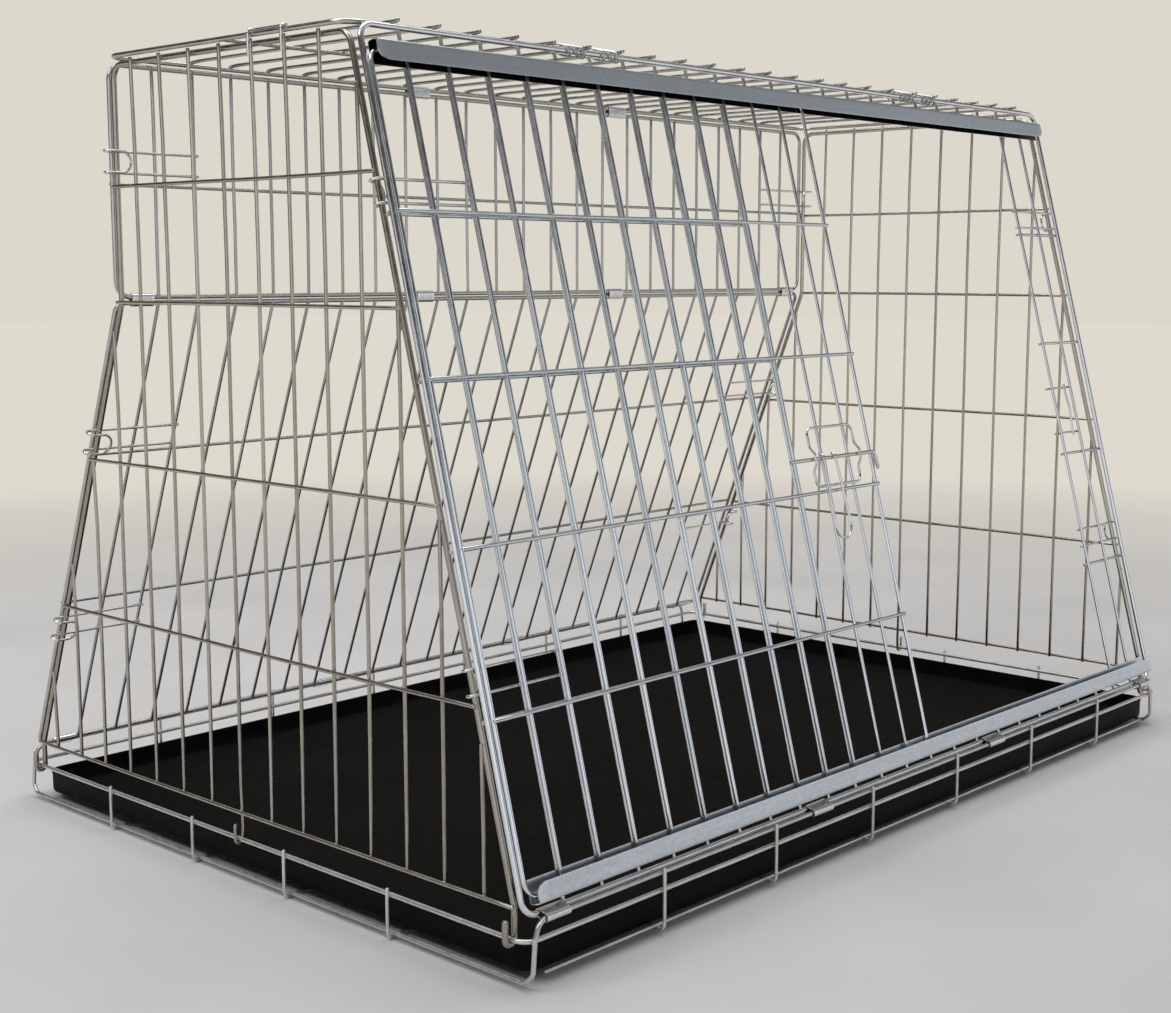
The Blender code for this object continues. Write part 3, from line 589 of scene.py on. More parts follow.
# ------------------------------------------------------------------ base frame
def base_wire():
    w = Build()

    def corner(sx, sy):
        c = HX + (0.0018 if sx < 0 else -0.0105)
        yv = Y_RING + 2 * R_RING - BITE
        return [(sx * c, sy * (yv - 0.016), 0.0041), (sx * c, sy * (yv - 0.007), 0.0043),
                (sx * (c - 0.0010), sy * yv, 0.0110), (sx * (c - 0.0030), sy * yv, 0.0345),
                (sx * (c - 0.0068), sy * (yv - 0.0008), 0.0425),
                (sx * (c - 0.0148), sy * Y_RING, Z_UPSTAND)]
    loop = corner(-1, -1) + corner(1, -1)[::-1] + corner(1, 1) + corner(-1, 1)[::-1]
    w.wire(rounded(loop, 0.006, 5, True), R_RING, True, step=0.03)
    ring = rounded([(-X_RING, -Y_RING, Z_RING), (X_RING, -Y_RING, Z_RING),
                    (X_RING, Y_RING, Z_RING), (-X_RING, Y_RING, Z_RING)], 0.010, 8, True)
    w.wire(ring, R_RING, True, step=0.03)
    xo = X_RING + R_RING + R_FLOOR - BITE
    yo = Y_RING + R_RING + R_FLOOR - BITE
    zf = R_FLOOR
    zc = zf + 2 * R_FLOOR - BITE
    ys = [n * 0.117 for n in (-1.5, -0.5, 0.5, 1.5)]
    xs = [kx(NX * i / 7) for i in range(1, 7)]
    for y in ys:
        w.wire(rounded([(-xo, y, Z_RING + 0.0052), (-xo, y, zf), (xo, y, zf), (xo, y, Z_RING + 0.0052)], 0.0045, 6),
               R_FLOOR, step=0.04)
        for sx in (-1, 1):
            w.nugget((sx * (xo + X_RING) / 2, y, Z_RING), (0, 0, 1), (0, 1, 0), R_FLOOR)
    for sy in (-1, 1):
        w.wire([(-0.4400, sy * 0.3045, zc + 2 * R_FLOOR - BITE), (0.4380, sy * 0.3045, zc + 2 * R_FLOOR - BITE)],
               0.0012, step=0.04)
        for x in xs:
            w.nugget((x, sy * 0.3045, zc + R_FLOOR - BITE / 2), (1, 0, 0), (0, 1, 0), R_FLOOR)
    for x in xs:
        w.wire(rounded([(x, -yo, Z_UPSTAND + 0.0036), (x, -yo, zc), (x, yo, zc), (x, yo, Z_UPSTAND + 0.0036)], 0.0045, 6),
               R_FLOOR, step=0.04)
        for sy in (-1, 1):
            for z in (Z_RING, Z_UPSTAND):
                w.nugget((x, sy * (yo + Y_RING) / 2, z), (0, 0, 1), (1, 0, 0), R_FLOOR)
        for y in ys:
            w.nugget((x, y, (zf + zc) / 2), (1, 0, 0), (0, 1, 0), R_FLOOR)
    for sx in (-1, 1):
        for sy in (-1, 1):
            w.nugget((sx * (HX - (0.0012 if sx < 0 else 0.0135)), sy * (Y_RING + R_RING), Z_RING), (0, 0, 1), (1, 0, 0), R_RING)
    w.done("base_wire", "crate_frame", M_BASE, ["base_frame"])


def rrect(x, y, r, z, n=6):
    return rounded([(-x, -y, z), (x, -y, z), (x, y, z), (-x, y, z)], r, n, True)


def lofted(name, rings, mat, replaces, sharp=40, body="crate_frame"):
    v, f = [], []
    n = len(rings[0])
    for ring in rings:
        v += [tuple(p) for p in ring]
    for i in range(len(rings) - 1):
        for j in range(n):
            j2 = (j + 1) % n
            f.append((i * n + j, i * n + j2, (i + 1) * n + j2, (i + 1) * n + j))
    f.append(tuple(range(n))[::-1])
    f.append(tuple((len(rings) - 1) * n + j for j in range(n)))
    me = bpy.data.meshes.new(name)
    me.from_pydata(v, [], f)
    me.polygons.foreach_set("use_smooth", [True] * len(me.polygons))
    me.materials.append(mat)
    me.validate()
    me.update()
    me.set_sharp_from_angle(angle=math.radians(sharp))
    o = bpy.data.objects.new(name, me)
    scene.collection.objects.link(o)
    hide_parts(*replaces)
    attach(o, body)
    return o


def tray_pan():
    X, Y, R = TRAY_X + 0.0028, TRAY_Y, 0.014
    z0, z1, t = TRAY_Z0, TRAY_Z0 + TRAY_H, 0.0012
    prof = [(0.0060, z0), (0.0034, z0 + 0.0001), (0.0014, z0 + 0.0009), (0.0004, z0 + 0.0024), (0.0001, z0 + 0.0045),
            (0.0, z1 - 0.0030), (-0.0004, z1 - 0.0022), (-0.0006, z1 - 0.0012), (-0.0003, z1 - 0.0004),
            (0.0004, z1), (0.0010, z1 - 0.0003), (0.0013, z1 - 0.0010), (0.0012, z1 - 0.0030),
            (0.0012, z0 + t + 0.0030), (0.0017, z0 + t + 0.0013), (0.0028, z0 + t + 0.0003), (0.0046, z0 + t), (0.0080, z0 + t)]
    rings = []
    for d, z in prof:
        rr = max(R - d, 0.004)
        ring = rrect(X - d, Y - d, rr, z, 8)
        # the whole pan is shifted 2.8 mm towards +x
        out = []
        for p in ring:
            q = Vector(p)
            q.x += 0.0028
            out.append(q)
        rings.append(out)
    return lofted("tray_pan", rings, M_TRAY, ["tray"])


def mat_sheet():
    X, Y = TRAY_X - 0.004, TRAY_Y - 0.004
    z0 = TRAY_Z0 + 0.0012 + GAP
    h = 0.0030
    nx, nyy = 150, 100
    R = 0.010
    v, f = [], []

    def shape(u, w):
        """Square grid mapped to a rectangle with rounded corners."""
        x, y = u * X, w * Y
        cx, cy = X - R, Y - R
        if abs(x) > cx and abs(y) > cy:
            dx, dy = abs(x) - cx, abs(y) - cy
            m = max(dx, dy)
            if m > 1e-9:
                k = m / math.hypot(dx, dy)
                x = math.copysign(cx + dx * k, x)
                y = math.copysign(cy + dy * k, y)
        return x, y

    def top(x, y):
        e = min(X - abs(x), Y - abs(y))
        edge = 1 - math.exp(-max(e, 0) / 0.0022)
        p = Vector((x * 3.1, y * 3.1, 2.7))
        wr = noise.fractal(p, 0.9, 2.1, 4)
        ridge = 1 - abs(noise.noise(Vector((x * 2.2 + 0.35 * y + 4.1, y * 5.5, 1.3)))) * 2
        z = h * (0.52 + 0.34 * edge) + 0.0004 * wr * edge + 0.0004 * max(0, ridge - 0.72) * edge / 0.28
        return min(z, h) + z0
    us = [math.sin(math.pi / 2 * (2 * i / nx - 1)) * 0.25 + 0.75 * (2 * i / nx - 1) for i in range(nx + 1)]
    ws = [math.sin(math.pi / 2 * (2 * i / nyy - 1)) * 0.25 + 0.75 * (2 * i / nyy - 1) for i in range(nyy + 1)]
    for s in (0, 1):
        for w in ws:
            for u in us:
                x, y = shape(u, w)
                v.append((x, y, top(x, y) if s == 0 else z0))
    n1 = nx + 1
    tot = n1 * (nyy + 1)
    for j in range(nyy):
        for i in range(nx):
            a = j * n1 + i
            f.append((a, a + 1, a + n1 + 1, a + n1))
            f.append((tot + a, tot + a + n1, tot + a + n1 + 1, tot + a + 1))
    for i in range(nx):
        a, b = i, nyy * n1 + i
        f.append((a, tot + a, tot + a + 1, a + 1))
        f.append((b + 1, tot + b + 1, tot + b, b))
    for j in range(nyy):
        a, b = j * n1, j * n1 + nx
        f.append((a + n1, tot + a + n1, tot + a, a))
        f.append((b, tot + b, tot + b + n1, b + n1))
    me = bpy.data.meshes.new("mat_sheet")
    me.from_pydata(v, [], f)
    me.polygons.foreach_set("use_smooth", [True] * len(me.polygons))
    me.materials.append(M_MAT)
    me.validate()
    me.update()
    me.set_sharp_from_angle(angle=math.radians(60))
    o = bpy.data.objects.new("mat_sheet", me)
    scene.collection.objects.link(o)
    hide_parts("tray_mat")
    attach(o, "crate_frame")
    return o


# ------------------------------------------------------------------ end panels
def end_panel(name, side):
    w = Build()
    x = side * HX
    post_f = P_OFF - (2 * R_PIN + 2 * GAP + 2 * R_POST)
    post_b = -(2 * R_PIN + 2 * GAP + R_FRAME + R_POST)

    def fy(z):
        a, b = front(0, 0.0, post_f), front(0, 0.5, post_f)
        return a[1] + (z - a[2]) * (b[1] - a[1]) / (b[2] - a[2])
    a, b = low(0, 0.0, post_b), low(0, 0.4, post_b)
    zk = a[2] + (Y_BACK + post_b - a[1]) * (b[2] - a[2]) / (b[1] - a[1])

    def by(z):
        return max(Y_BACK + post_b, a[1] + (z - a[2]) * (b[1] - a[1]) / (b[2] - a[2]))

    def foot(y, r_wire=R_POST, tip=0.0130, n=10):
        rr = R_RING + GAP + r_wire
        xr = side * X_RING
        pts = []
        for i in range(n + 1):
            t = math.pi * i / n
            pts.append(Vector((xr - side * rr * math.cos(t), y, Z_RING - rr * math.sin(t))))
        pts.append(Vector((xr + side * rr, y, Z_RING + tip)))
        return pts
    yf0, yb0 = fy(Z_END_BOTTOM), by(Z_END_BOTTOM)
    path = foot(yf0)[::-1] + [Vector((x, yf0, Z_END_BOTTOM - 0.004))]
    path += rounded([(x, yf0, Z_END_BOTTOM), (x, fy(Z_END_TOP), Z_END_TOP), (x, Y_BACK + post_b, Z_END_TOP),
                     (x, Y_BACK + post_b, zk), (x, yb0, Z_END_BOTTOM)], [0, 0.012, 0.012, 0.030, 0], 8)
    path += [Vector((x, yb0, Z_END_BOTTOM - 0.004))] + foot(yb0)
    w.wire(path, R_POST, sides=14, step=0.04)

    up = side * 0.0009                       # uprights stand just outside the frame's plane
    xo = x + side * (R_POST + R_BAR - BITE)
    levels = (Z_END_BOTTOM,) + END_BARS
    for n in range(1, NY):
        y = ny(n)
        whole = fy(Z_END_TOP) + 0.008 < y < Y_BACK + post_b - 0.008
        if whole:
            zt = Z_END_TOP + 0.0036
            top = [(x + up, y, Z_END_TOP - 0.150), (x + side * 0.0018, y, Z_END_TOP - 0.060), (x + side * 0.0031, y, Z_END_TOP - 0.002), (x + side * 0.0032, y, zt)]
        else:
            lo, hi = Z_END_BOTTOM, Z_END_TOP
            for _ in range(40):
                mm = (lo + hi) / 2
                if fy(mm) < y < by(mm):
                    lo = mm
                else:
                    hi = mm
            zt = lo
            top = [(x + up, y, zt - 0.060), (x + side * 0.0024, y, zt + 0.0022)]
        if n == 8:
            pts = foot(y, R_THIN, 0.0120)[::-1] + [(x, y, Z_RING + 0.008), (x + up, y, Z_END_BOTTOM + 0.02)] + top
        else:
            pts = [(x + up, y, Z_END_BOTTOM - 0.0018)] + top
        w.wire(rounded(pts, 0.010, 4) if n != 8 else pts, R_THIN, step=0.035, bow=((0, 1, 0), 0.0005))
        if whole:
            w.nugget((x + side * 0.0021, y, Z_END_TOP), (0, 1, 0), (0, 0, 1), R_THIN)
        for z in levels:
            if z < zt - 0.004:
                w.nugget((x + side * 0.0021, y, z), (0, 1, 0), (0, 0, 1), R_THIN)
    for z in levels:
        w.wire([(xo, fy(z) - 0.0024, z), (xo, by(z) + 0.0024, z)], R_BAR, step=0.03, bow=((0, 0, 1), 0.0005))
        for yy in (fy(z), by(z)):
            w.nugget((x + side * 0.0026, yy, z), (0, 1, 0), (0, 0, 1), R_BAR)
    w.done(name + "_wires", name, M_END_SHADED, [name])


# ------------------------------------------------------------------ back, roof, front
def back_panel(name, at, s0, s1, bars, rb):
    w = Build()
    w.wire(loop_of(at, s0, s1, -HX, HX, rb), R_FRAME, True, sides=14, step=0.04)
    off = -0.0008
    ob = off + R_THIN + R_BAR - BITE
    for k in range(1, NX):
        w.wire([at(kx(k), s0 - 0.0014, off), at(kx(k), s1 + 0.0014, off)], R_THIN, step=0.03, bow=((1, 0, 0), 0.0006))
        for s in (s0, s1):
            w.nugget(at(kx(k), s, -0.0012), (1, 0, 0), at.up, R_THIN)
        for s in bars:
            w.nugget(at(kx(k), s, (off + ob) / 2), (1, 0, 0), at.up, R_THIN)
    for s in bars:
        w.wire([at(-HX - 0.0016, s, ob), at(HX + 0.0016, s, ob)], R_BAR, step=0.04, bow=(at.up, 0.0006))
        for x in (-HX, HX):
            w.nugget(at(x, s, 0.0012), (1, 0, 0), at.up, R_BAR)
    w.done(name + "_wires", "crate_frame", M_BACK_SHADED, [name])


def roof_panel():
    w = Build()
    z = Z_ROOF
    loop = rounded([(-X_ROOF, Y_ROOF_FRONT, z), (X_ROOF, Y_ROOF_FRONT, z), (X_ROOF, Y_BACK, z), (-X_ROOF, Y_BACK, z)],
                   0.016, 8, True)
    w.wire(loop, R_FRAME, True, sides=14, step=0.04)
    zt = z + R_FRAME + R_THIN - BITE
    zl = zt - R_THIN - R_BAR + BITE
    for k in range(1, NX):
        x = kx(k)
        o = rng.uniform(-0.0009, 0.0009)
        u = rng.uniform(-0.0004, 0.0005)
        pts = [(x, Y_ROOF_FRONT - 0.0086 + o, zt + 0.0005 + u), (x, Y_ROOF_FRONT - 0.0050, zt - 0.0001), (x, Y_BACK - 0.0110, zt),
               (x, Y_BACK - 0.0035, zt - 0.0004), (x, Y_BACK + 0.0034, zt - 0.0022)]
        w.wire(rounded(pts, 0.006, 4), R_THIN, step=0.03, bow=((1, 0, 0), 0.0006))
        w.nugget((x, Y_ROOF_FRONT, z + R_FRAME), (1, 0, 0), (0, 1, 0), R_THIN)
        w.nugget((x, Y_BACK, z + R_FRAME - 0.0006), (1, 0, 0), (0, 1, 0), R_THIN)
        w.nugget((x, 0.0048, (zt + zl) / 2), (1, 0, 0), (0, 1, 0), R_THIN)
    w.wire([(-X_ROOF, 0.0048, zl), (X_ROOF, 0.0048, zl)], R_BAR, step=0.04, bow=((0, 1, 0), 0.0006))
    w.done("roof_wires", "crate_frame", M_ROOF_SHADED, ["roof_panel"])


def front_panel():
    w = Build()
    off = -0.0010
    ob = off - R_THIN - R_BAR + BITE
    s0, s1 = S_FRONT_BOTTOM - 0.0014, S_FRONT_TOP + 0.0014
    w.wire(rounded([grille(-HX, S_FRONT_BOTTOM), grille(HX, S_FRONT_BOTTOM), grille(HX, S_FRONT_TOP),
                    grille(-HX + 0.0026, S_FRONT_TOP)], 0.011, 8, True), R_POST, True, sides=14, step=0.04)
    for k in list(range(1, 11)) + [22, 23]:
        w.wire([grille(kx(k), s0, off), grille(kx(k), s1, off)], R_THIN, step=0.03, bow=((1, 0, 0), 0.0006))
        for s in FRONT_BARS:
            w.nugget(grille(kx(k), s, (off + ob) / 2), (1, 0, 0), front.up, R_THIN)
        for s in (S_FRONT_BOTTOM, S_FRONT_TOP):
            w.nugget(grille(kx(k), s, -0.0014), (1, 0, 0), front.up, R_THIN)
    for k in range(11, 22):
        w.wire([grille(kx(k), s0, off), grille(kx(k), 0.0258, off)], R_THIN, step=0.01)
        w.wire([grille(kx(k), 0.5785, off), grille(kx(k), s1, off)], R_THIN, step=0.01)
        for s in (S_FRONT_BOTTOM, S_FRONT_TOP):
            w.nugget(grille(kx(k), s, -0.0014), (1, 0, 0), front.up, R_THIN)
    for s in FRONT_BARS:
        for xa, xb in ((-HX - 0.0014, kx(10) + 0.0040), (kx(22) - 0.0040, HX + 0.0014)):
            w.wire([grille(xa, s, ob), grille(xb, s, ob)], R_BAR, step=0.03, bow=(front.up, 0.0004))
        for x in (-HX, HX):
            w.nugget(grille(x, s, -0.0022), (1, 0, 0), front.up, R_BAR)
    w.done("front_wires", "crate_frame", M_FRONT,
           ["front_panel", "front_panel_strip", "front_panel_sill", "front_panel_lintel"])


def fold_path(pts, r, n=5):
    """Flat path with bend radii, as (a, b) pairs."""
    return [(p.x, p.y) for p in rounded([Vector((q[0], q[1], 0)) for q in pts], r, n)]


def channel(name, s_web, s_front, s_rear, corner_r, rear_ext):
    w = Build()
    d = 1 if s_front > s_web else -1
    h = CH_T / 2
    lo, hi = CH_IN + h, CH_OUT - h
    sw = s_web + d * h
    prof = [(s_rear, lo), (s_rear - d * 0.30 * abs(s_rear - s_web), lo), (sw, lo), (sw, hi),
            (s_front - d * 0.60 * abs(s_front - s_web), hi), (s_front - d * 0.25 * abs(s_front - s_web), hi), (s_front, hi)]
    path = fold_path(prof[:1] + [prof[2], prof[3]] + prof[6:], 0.0013, 6)
    # refine the flanges so that their ends can be shaped
    fine = [path[0]]
    for a, b in zip(path, path[1:]):
        L = math.dist(a, b)
        m = max(1, int(L / 0.0016))
        for j in range(1, m + 1):
            fine.append((a[0] + (b[0] - a[0]) * j / m, a[1] + (b[1] - a[1]) * j / m))
    r = corner_r

    def ends(right, i, arc, total):
        s, o = fine[i]
        cut = 0.0
        if o > CH_OUT - 0.0020:
            dist = abs(s_front - s)                  # from the flange's free edge
            if dist < r:
                cut = r - math.sqrt(max(r * r - (r - dist) ** 2, 0))
            dist = abs(s - s_web)
            if dist < 0.0022:
                cut = max(cut, 0.0022 - dist)
        elif o < CH_IN + 0.0012:
            cut = -rear_ext
        return min(cut, 0.010)
    n = 46
    xs = [-CH_X, -CH_X + 0.010, -CH_X + 0.020]
    xs += [-CH_X + 0.030 + (2 * CH_X - 0.060) * j / n for j in range(n + 1)]
    xs += [CH_X - 0.020, CH_X - 0.010, CH_X]
    w.folded(fine, CH_T, xs, lambda x, s, o: front(x, s, o), ends, wave=0.00016)
    w.done(name + "_sheet", "crate_frame", M_SHEET_TOP if s_web > s_front else M_SHEET, [name], 50)


def sliding_door():
    w = Build()
    x0, x1 = kx(0) + 0.0044, kx(DOOR_CELLS) - 0.0066
    dx = -0.0016
    xb, xt = x0 - 0.0022, x0 + 0.0004      # the left edge leans a little
    w.wire(rounded([front(xb, DOOR_S0, DOOR_OFF), front(x1, DOOR_S0, DOOR_OFF), front(x1, DOOR_S1, DOOR_OFF),
                    front(xt, DOOR_S1, DOOR_OFF)], 0.0105, 8, True), R_DOOR, True, sides=14, step=0.03)
    ob = DOOR_OFF + R_THIN + R_BAR - BITE
    for k in range(1, DOOR_CELLS):
        w.wire([front(kx(k) + dx, DOOR_S0 - 0.0012, DOOR_OFF), front(kx(k) + dx, DOOR_S1 + 0.0012, DOOR_OFF)], R_THIN,
               step=0.03, bow=((1, 0, 0), 0.0006))
        for s in FRONT_BARS:
            w.nugget(front(kx(k) + dx, s, (DOOR_OFF + ob) / 2), (1, 0, 0), front.up, R_THIN)
        for s in (DOOR_S0, DOOR_S1):
            w.nugget(front(kx(k) + dx, s, DOOR_OFF), (1, 0, 0), front.up, R_THIN * 1.1)
    for s in FRONT_BARS:
        xe = xb + (xt - xb) * (s - DOOR_S0) / (DOOR_S1 - DOOR_S0)
        w.wire([front(xe - 0.0018, s, ob), front(x1 + 0.0018, s, ob)], R_BAR, step=0.03, bow=(front.up, 0.0005))
        for x in (xe, x1):
            w.nugget(front(x, s, DOOR_OFF + 0.0016), (1, 0, 0), front.up, R_BAR)
    w.done("door_wires", "sliding_door", M_DOOR, ["sliding_door"])


def latch():
    off_r = DOOR_OFF + R_DOOR + GAP + R_BOLT
    xt = kx(DOOR_CELLS) - 0.0056
    w = Build()
    w.wire(rounded([front(kx(10) - 0.0115, BOLT_S, off_r), front(xt, BOLT_S, off_r),
                    front(xt + 0.0020, BOLT_S - 0.0150, off_r)], 0.0042, 8), R_BOLT, step=0.01, sides=14)
    w.done("bolt_rod", "door_bolt", M_PIN, ["door_bolt"])

    w = Build()
    ow = DOOR_OFF + R_THIN + GAP + R_PIN
    oc = off_r + R_BOLT + GAP + R_PIN + 0.0002
    xl, xr = kx(10.50), kx(12.18)
    sb, st = 0.2505, 0.2995

    def leg(x):
        return [front(x, sb, ow), front(x, BOLT_S - 0.0100, ow), front(x, BOLT_S - 0.0040, oc),
                front(x, BOLT_S + 0.0040, oc), front(x, BOLT_S + 0.0100, ow), front(x, st, ow)]
    loop = leg(xl) + leg(xr)[::-1]
    loop = rounded(loop, [0.006, 0.0035, 0.0025, 0.0025, 0.0035, 0.006, 0.006, 0.0035, 0.0025, 0.0025, 0.0035, 0.006], 6, True)
    w.wire(loop, R_PIN, True)
    for k in (11, 12):
        for s in (sb, st):
            w.nugget(front(kx(k) - 0.0016, s, (ow + DOOR_OFF) / 2 + 0.0002), (1, 0, 0), front.up, R_PIN)
    w.done("staple_wire", "sliding_door", M_PIN, ["bolt_staple"])

    w = Build()
    rp = R_PIN
    rc = R_BOLT + GAP + rp + 0.0001
    x_a, x_b = kx(10.84) - 0.0010, kx(11.26) - 0.0010
    x_c, x_d = kx(10.79) - 0.0010, kx(11.35) - 0.0010

    def eye(x):
        pts = []
        for i in range(13):
            t = math.radians(75 + 105 * i / 12)
            pts.append((x, BOLT_S + rc * math.sin(t), off_r - rc * math.cos(t)))
        return pts
    ea = eye(x_a)
    tip = BOLT_S - 0.0680
    o1 = off_r + rc
    mid = [(x_a - 0.0004, BOLT_S - 0.012, o1), (x_a - 0.0010, BOLT_S - 0.030, o1), (x_c, tip + 0.0120, o1),
           (x_c + 0.0018, tip + 0.0050, o1), (x_c + 0.0058, tip + 0.0012, o1), ((x_c + x_d) / 2, tip, o1),
           (x_d - 0.0058, tip + 0.0012, o1), (x_d - 0.0018, tip + 0.0050, o1), (x_d, tip + 0.0120, o1),
           (x_b + 0.0016, BOLT_S - 0.030, o1), (x_b + 0.0006, BOLT_S - 0.012, o1)]
    smooth = spline([ea[-1]] + mid + [(x_b, ea[-1][1], ea[-1][2])], 5)
    path = [Vector(p) for p in ea[:-1]] + smooth + [Vector((x_b, p[1], p[2])) for p in ea[:-1][::-1]]
    w.wire([front(p[0], p[1], p[2]) for p in path], rp)
    w.done("handle_wire", "bolt_handle", M_PIN, ["bolt_handle"])

    w = Build()
    off = P_OFF - 0.0010 - R_THIN - GAP - R_PIN
    for s in (0.3130, 0.2670):
        w.wire([front(kx(21.80), s, off), front(kx(22.40), s + 0.0003, off), front(kx(23.10), s, off)], R_PIN, step=0.006)
        for k in (22, 23):
            w.nugget(front(kx(k), s, off + 0.0012), (1, 0, 0), front.up, R_PIN)
    x = kx(22.72)
    w.wire(spline([front(x, 0.2636, off + 0.0016), front(x, 0.2750, off + 0.0018), front(x + 0.0006, 0.2900, off + 0.0026),
                   front(x, 0.3050, off + 0.0018), front(x, 0.3164, off + 0.0016)], 6), R_PIN)
    w.done("receiver_wire", "crate_frame", M_PIN, ["latch_receiver"])


# ------------------------------------------------------------------ hairpins, catches, clips, coils
def hairpin(name, at, side, s_up, s_dn, r_frame, reach=0.0062, rr=0.0045, bow=0.0085):
    """Two legs on the panel's inner face; each hooks round the end panel's post from outside
    and comes back in front of it, where a round bow joins them."""
    w = Build()
    leg = -(r_frame + GAP + R_PIN)
    x_in = side * (HX - 2 * PITCH) - side * 0.002
    xo = side * (HX + reach)                  # how loosely it goes round the post
    back_off = leg - 2 * rr
    one = [(x_in, s_up, leg), (x_in + side * 0.020, s_up, leg), (side * (HX - 0.012), s_up, leg), (xo - side * 0.0004, s_up, leg)]
    for i in range(11):
        t = math.pi * i / 10
        one.append((xo + side * rr * math.sin(t), s_up, leg - rr + rr * math.cos(t)))
    xd = side * (HX - 0.0010)
    one.append((xd, s_up, back_off))
    d = s_up - s_dn
    arc = []
    for i in range(1, 14):
        t = math.pi * i / 14
        arc.append((xd - side * bow * math.sin(t), (s_up + s_dn) / 2 + d / 2 * math.cos(t), back_off))
    two = [(p[0], s_dn + (s_up - p[1]), p[2]) for p in one][::-1]
    w.wire([at(*p) for p in one + arc + two], R_PIN, step=0.012)
    for k in (1, 2):
        for q in (s_up, s_dn):
            w.nugget(at(side * (HX - k * PITCH), q, leg + 0.0010), (1, 0, 0), at.up, R_PIN)
    w.done(name + "_wire", "crate_frame", M_PIN, [name])


def roof_catch(name, side):
    w = Build()
    rw = R_FRAME + GAP + R_PIN
    x = side * X_ROOF
    ys = (ny(9), ny(10))

    def hook(y):
        pts = [(x + side * (rw - 0.0006), y, 0.6120), (x + side * rw, y, 0.6180), (x + side * rw, y, Z_ROOF - 0.004)]
        for i in range(13):
            t = math.radians(115 * i / 12)
            pts.append((x + side * rw * math.cos(t), y, Z_ROOF + rw * math.sin(t)))
        return pts
    a, b = hook(ys[0]), hook(ys[1])
    path = rounded(a[-2:] + b[::-1][:2], 0.0016, 4)
    w.wire(a[:-2] + path + b[:-2][::-1], R_PIN)
    w.done(name + "_wire", "crate_frame", M_PIN, [name])


def clip(name, a, ra, b, rb, x_mid, length=0.0255):
    """Pressed sheet sleeve: wrapped round both wires and pinched between them."""
    w = Build()
    t = 0.0007
    A, B = Vector(a), Vector(b)
    dv = (B - A)
    dist = dv.length
    dv = dv / dist
    nv = Vector((-dv.y, dv.x))
    prof = []
    ro = max(ra, rb) + GAP + t / 2
    waist = 0.72 * ro
    steps = 18
    # start at the waist, go round b, back over the waist, round a, and stop short of the start
    seq = []
    for i in range(steps + 1):
        th = -math.radians(78) + math.radians(156) * i / steps
        seq.append(B + dv * ro * math.cos(th) + nv * ro * math.sin(th))
    mid1 = A.lerp(B, 0.5) + nv * waist
    mid2 = A.lerp(B, 0.5) - nv * waist
    for i in range(steps + 1):
        th = math.radians(102) + math.radians(156) * i / steps
        pt = A + dv * ro * math.cos(th) + nv * ro * math.sin(th)
        if i == 0:
            if dist > 2.2 * ro:
                seq.append(mid1)
        seq.append(pt)
    if dist > 2.2 * ro:
        seq.append(mid2)
    prof = [(p.x, p.y) for p in seq]
    n = 9
    xs = [x_mid - length / 2 + length * j / n for j in range(n + 1)]
    w.folded(prof, t, xs, lambda x, p, q: (x, p, q), None, closed=True)
    w.done(name + "_sheet", "crate_frame", M_CLIP, [name], 50)


def hinge_coil(name, x0, turns=3, step=0.0080):
    w = Build()
    f = front(0, S_FRONT_TOP, P_OFF)
    a, b = Vector((f[1], f[2])), Vector((Y_ROOF_FRONT, Z_ROOF))
    r = max(R_POST, R_FRAME) + 0.0008 + 0.0009
    d = (b - a).normalized()
    base = math.atan2(d.y, d.x)
    loop = []
    for c, s0 in ((b, base - math.pi / 2), (a, base + math.pi / 2)):
        for i in range(9):
            t = s0 + math.pi * i / 8
            loop.append((c.x + r * math.cos(t), c.y + r * math.sin(t)))
    pts, n = [], len(loop)
    for i in range(turns * n + 1):
        p = loop[i % n]
        pts.append((x0 + step * i / n, p[0], p[1]))
    w.wire(pts, 0.0009, sides=10)
    w.done(name + "_wire", "crate_frame", M_COIL, [name])


# ------------------------------------------------------------------ make everything
base_wire()
tray_pan()
mat_sheet()
end_panel("left_end_panel", -1)
end_panel("right_end_panel", 1)
back_panel("back_upper_panel", back, Z_MID_UP, Z_TOP, (UP_BAR,), 0.012)
back_panel("back_lower_panel", low, 0.0, low.length, LOW_BARS, 0.008)
roof_panel()
front_panel()
channel("bottom_channel", 0.0110, 0.0245, 0.0272, 0.0080, 0.0)
channel("top_channel", 0.5894, 0.5750, 0.5738, 0.0075, 0.0)
sliding_door()
latch()
for side, tag in ((-1, "left"), (1, "right")):
    hairpin("hairpin_rear_%s_upper" % tag, back, side, 0.5550, 0.5385, R_FRAME)
    hairpin("hairpin_rear_%s_middle" % tag, low, side, 0.3065, 0.2895, R_FRAME)
    hairpin("hairpin_rear_%s_lower" % tag, low, side, 0.1310, 0.1140, R_FRAME)
    hairpin("hairpin_front_%s_upper" % tag, grille, side, 0.4970, 0.4805, R_POST, 0.0010, 0.0038, 0.0060)
    hairpin("hairpin_front_%s_lower" % tag, grille, side, 0.1680, 0.1510, R_POST, 0.0010, 0.0038, 0.0060)
    roof_catch("roof_catch_%s" % tag, side)
fb = front(0, S_FRONT_BOTTOM, P_OFF)
for i, (k, wd) in enumerate(((0.64, 0.022), (8.48, 0.0255), (15.52, 0.0255), (23.36, 0.022)), 1):
    clip("front_hinge_clip_%d" % i, (-Y_RING, Z_UPSTAND), R_RING, (fb[1], fb[2]), R_POST, kx(k), wd)
    clip("rear_hinge_clip_%d" % i, LOW_FOOT, R_FRAME, (Y_RING, Z_UPSTAND), R_RING, kx(k), wd)
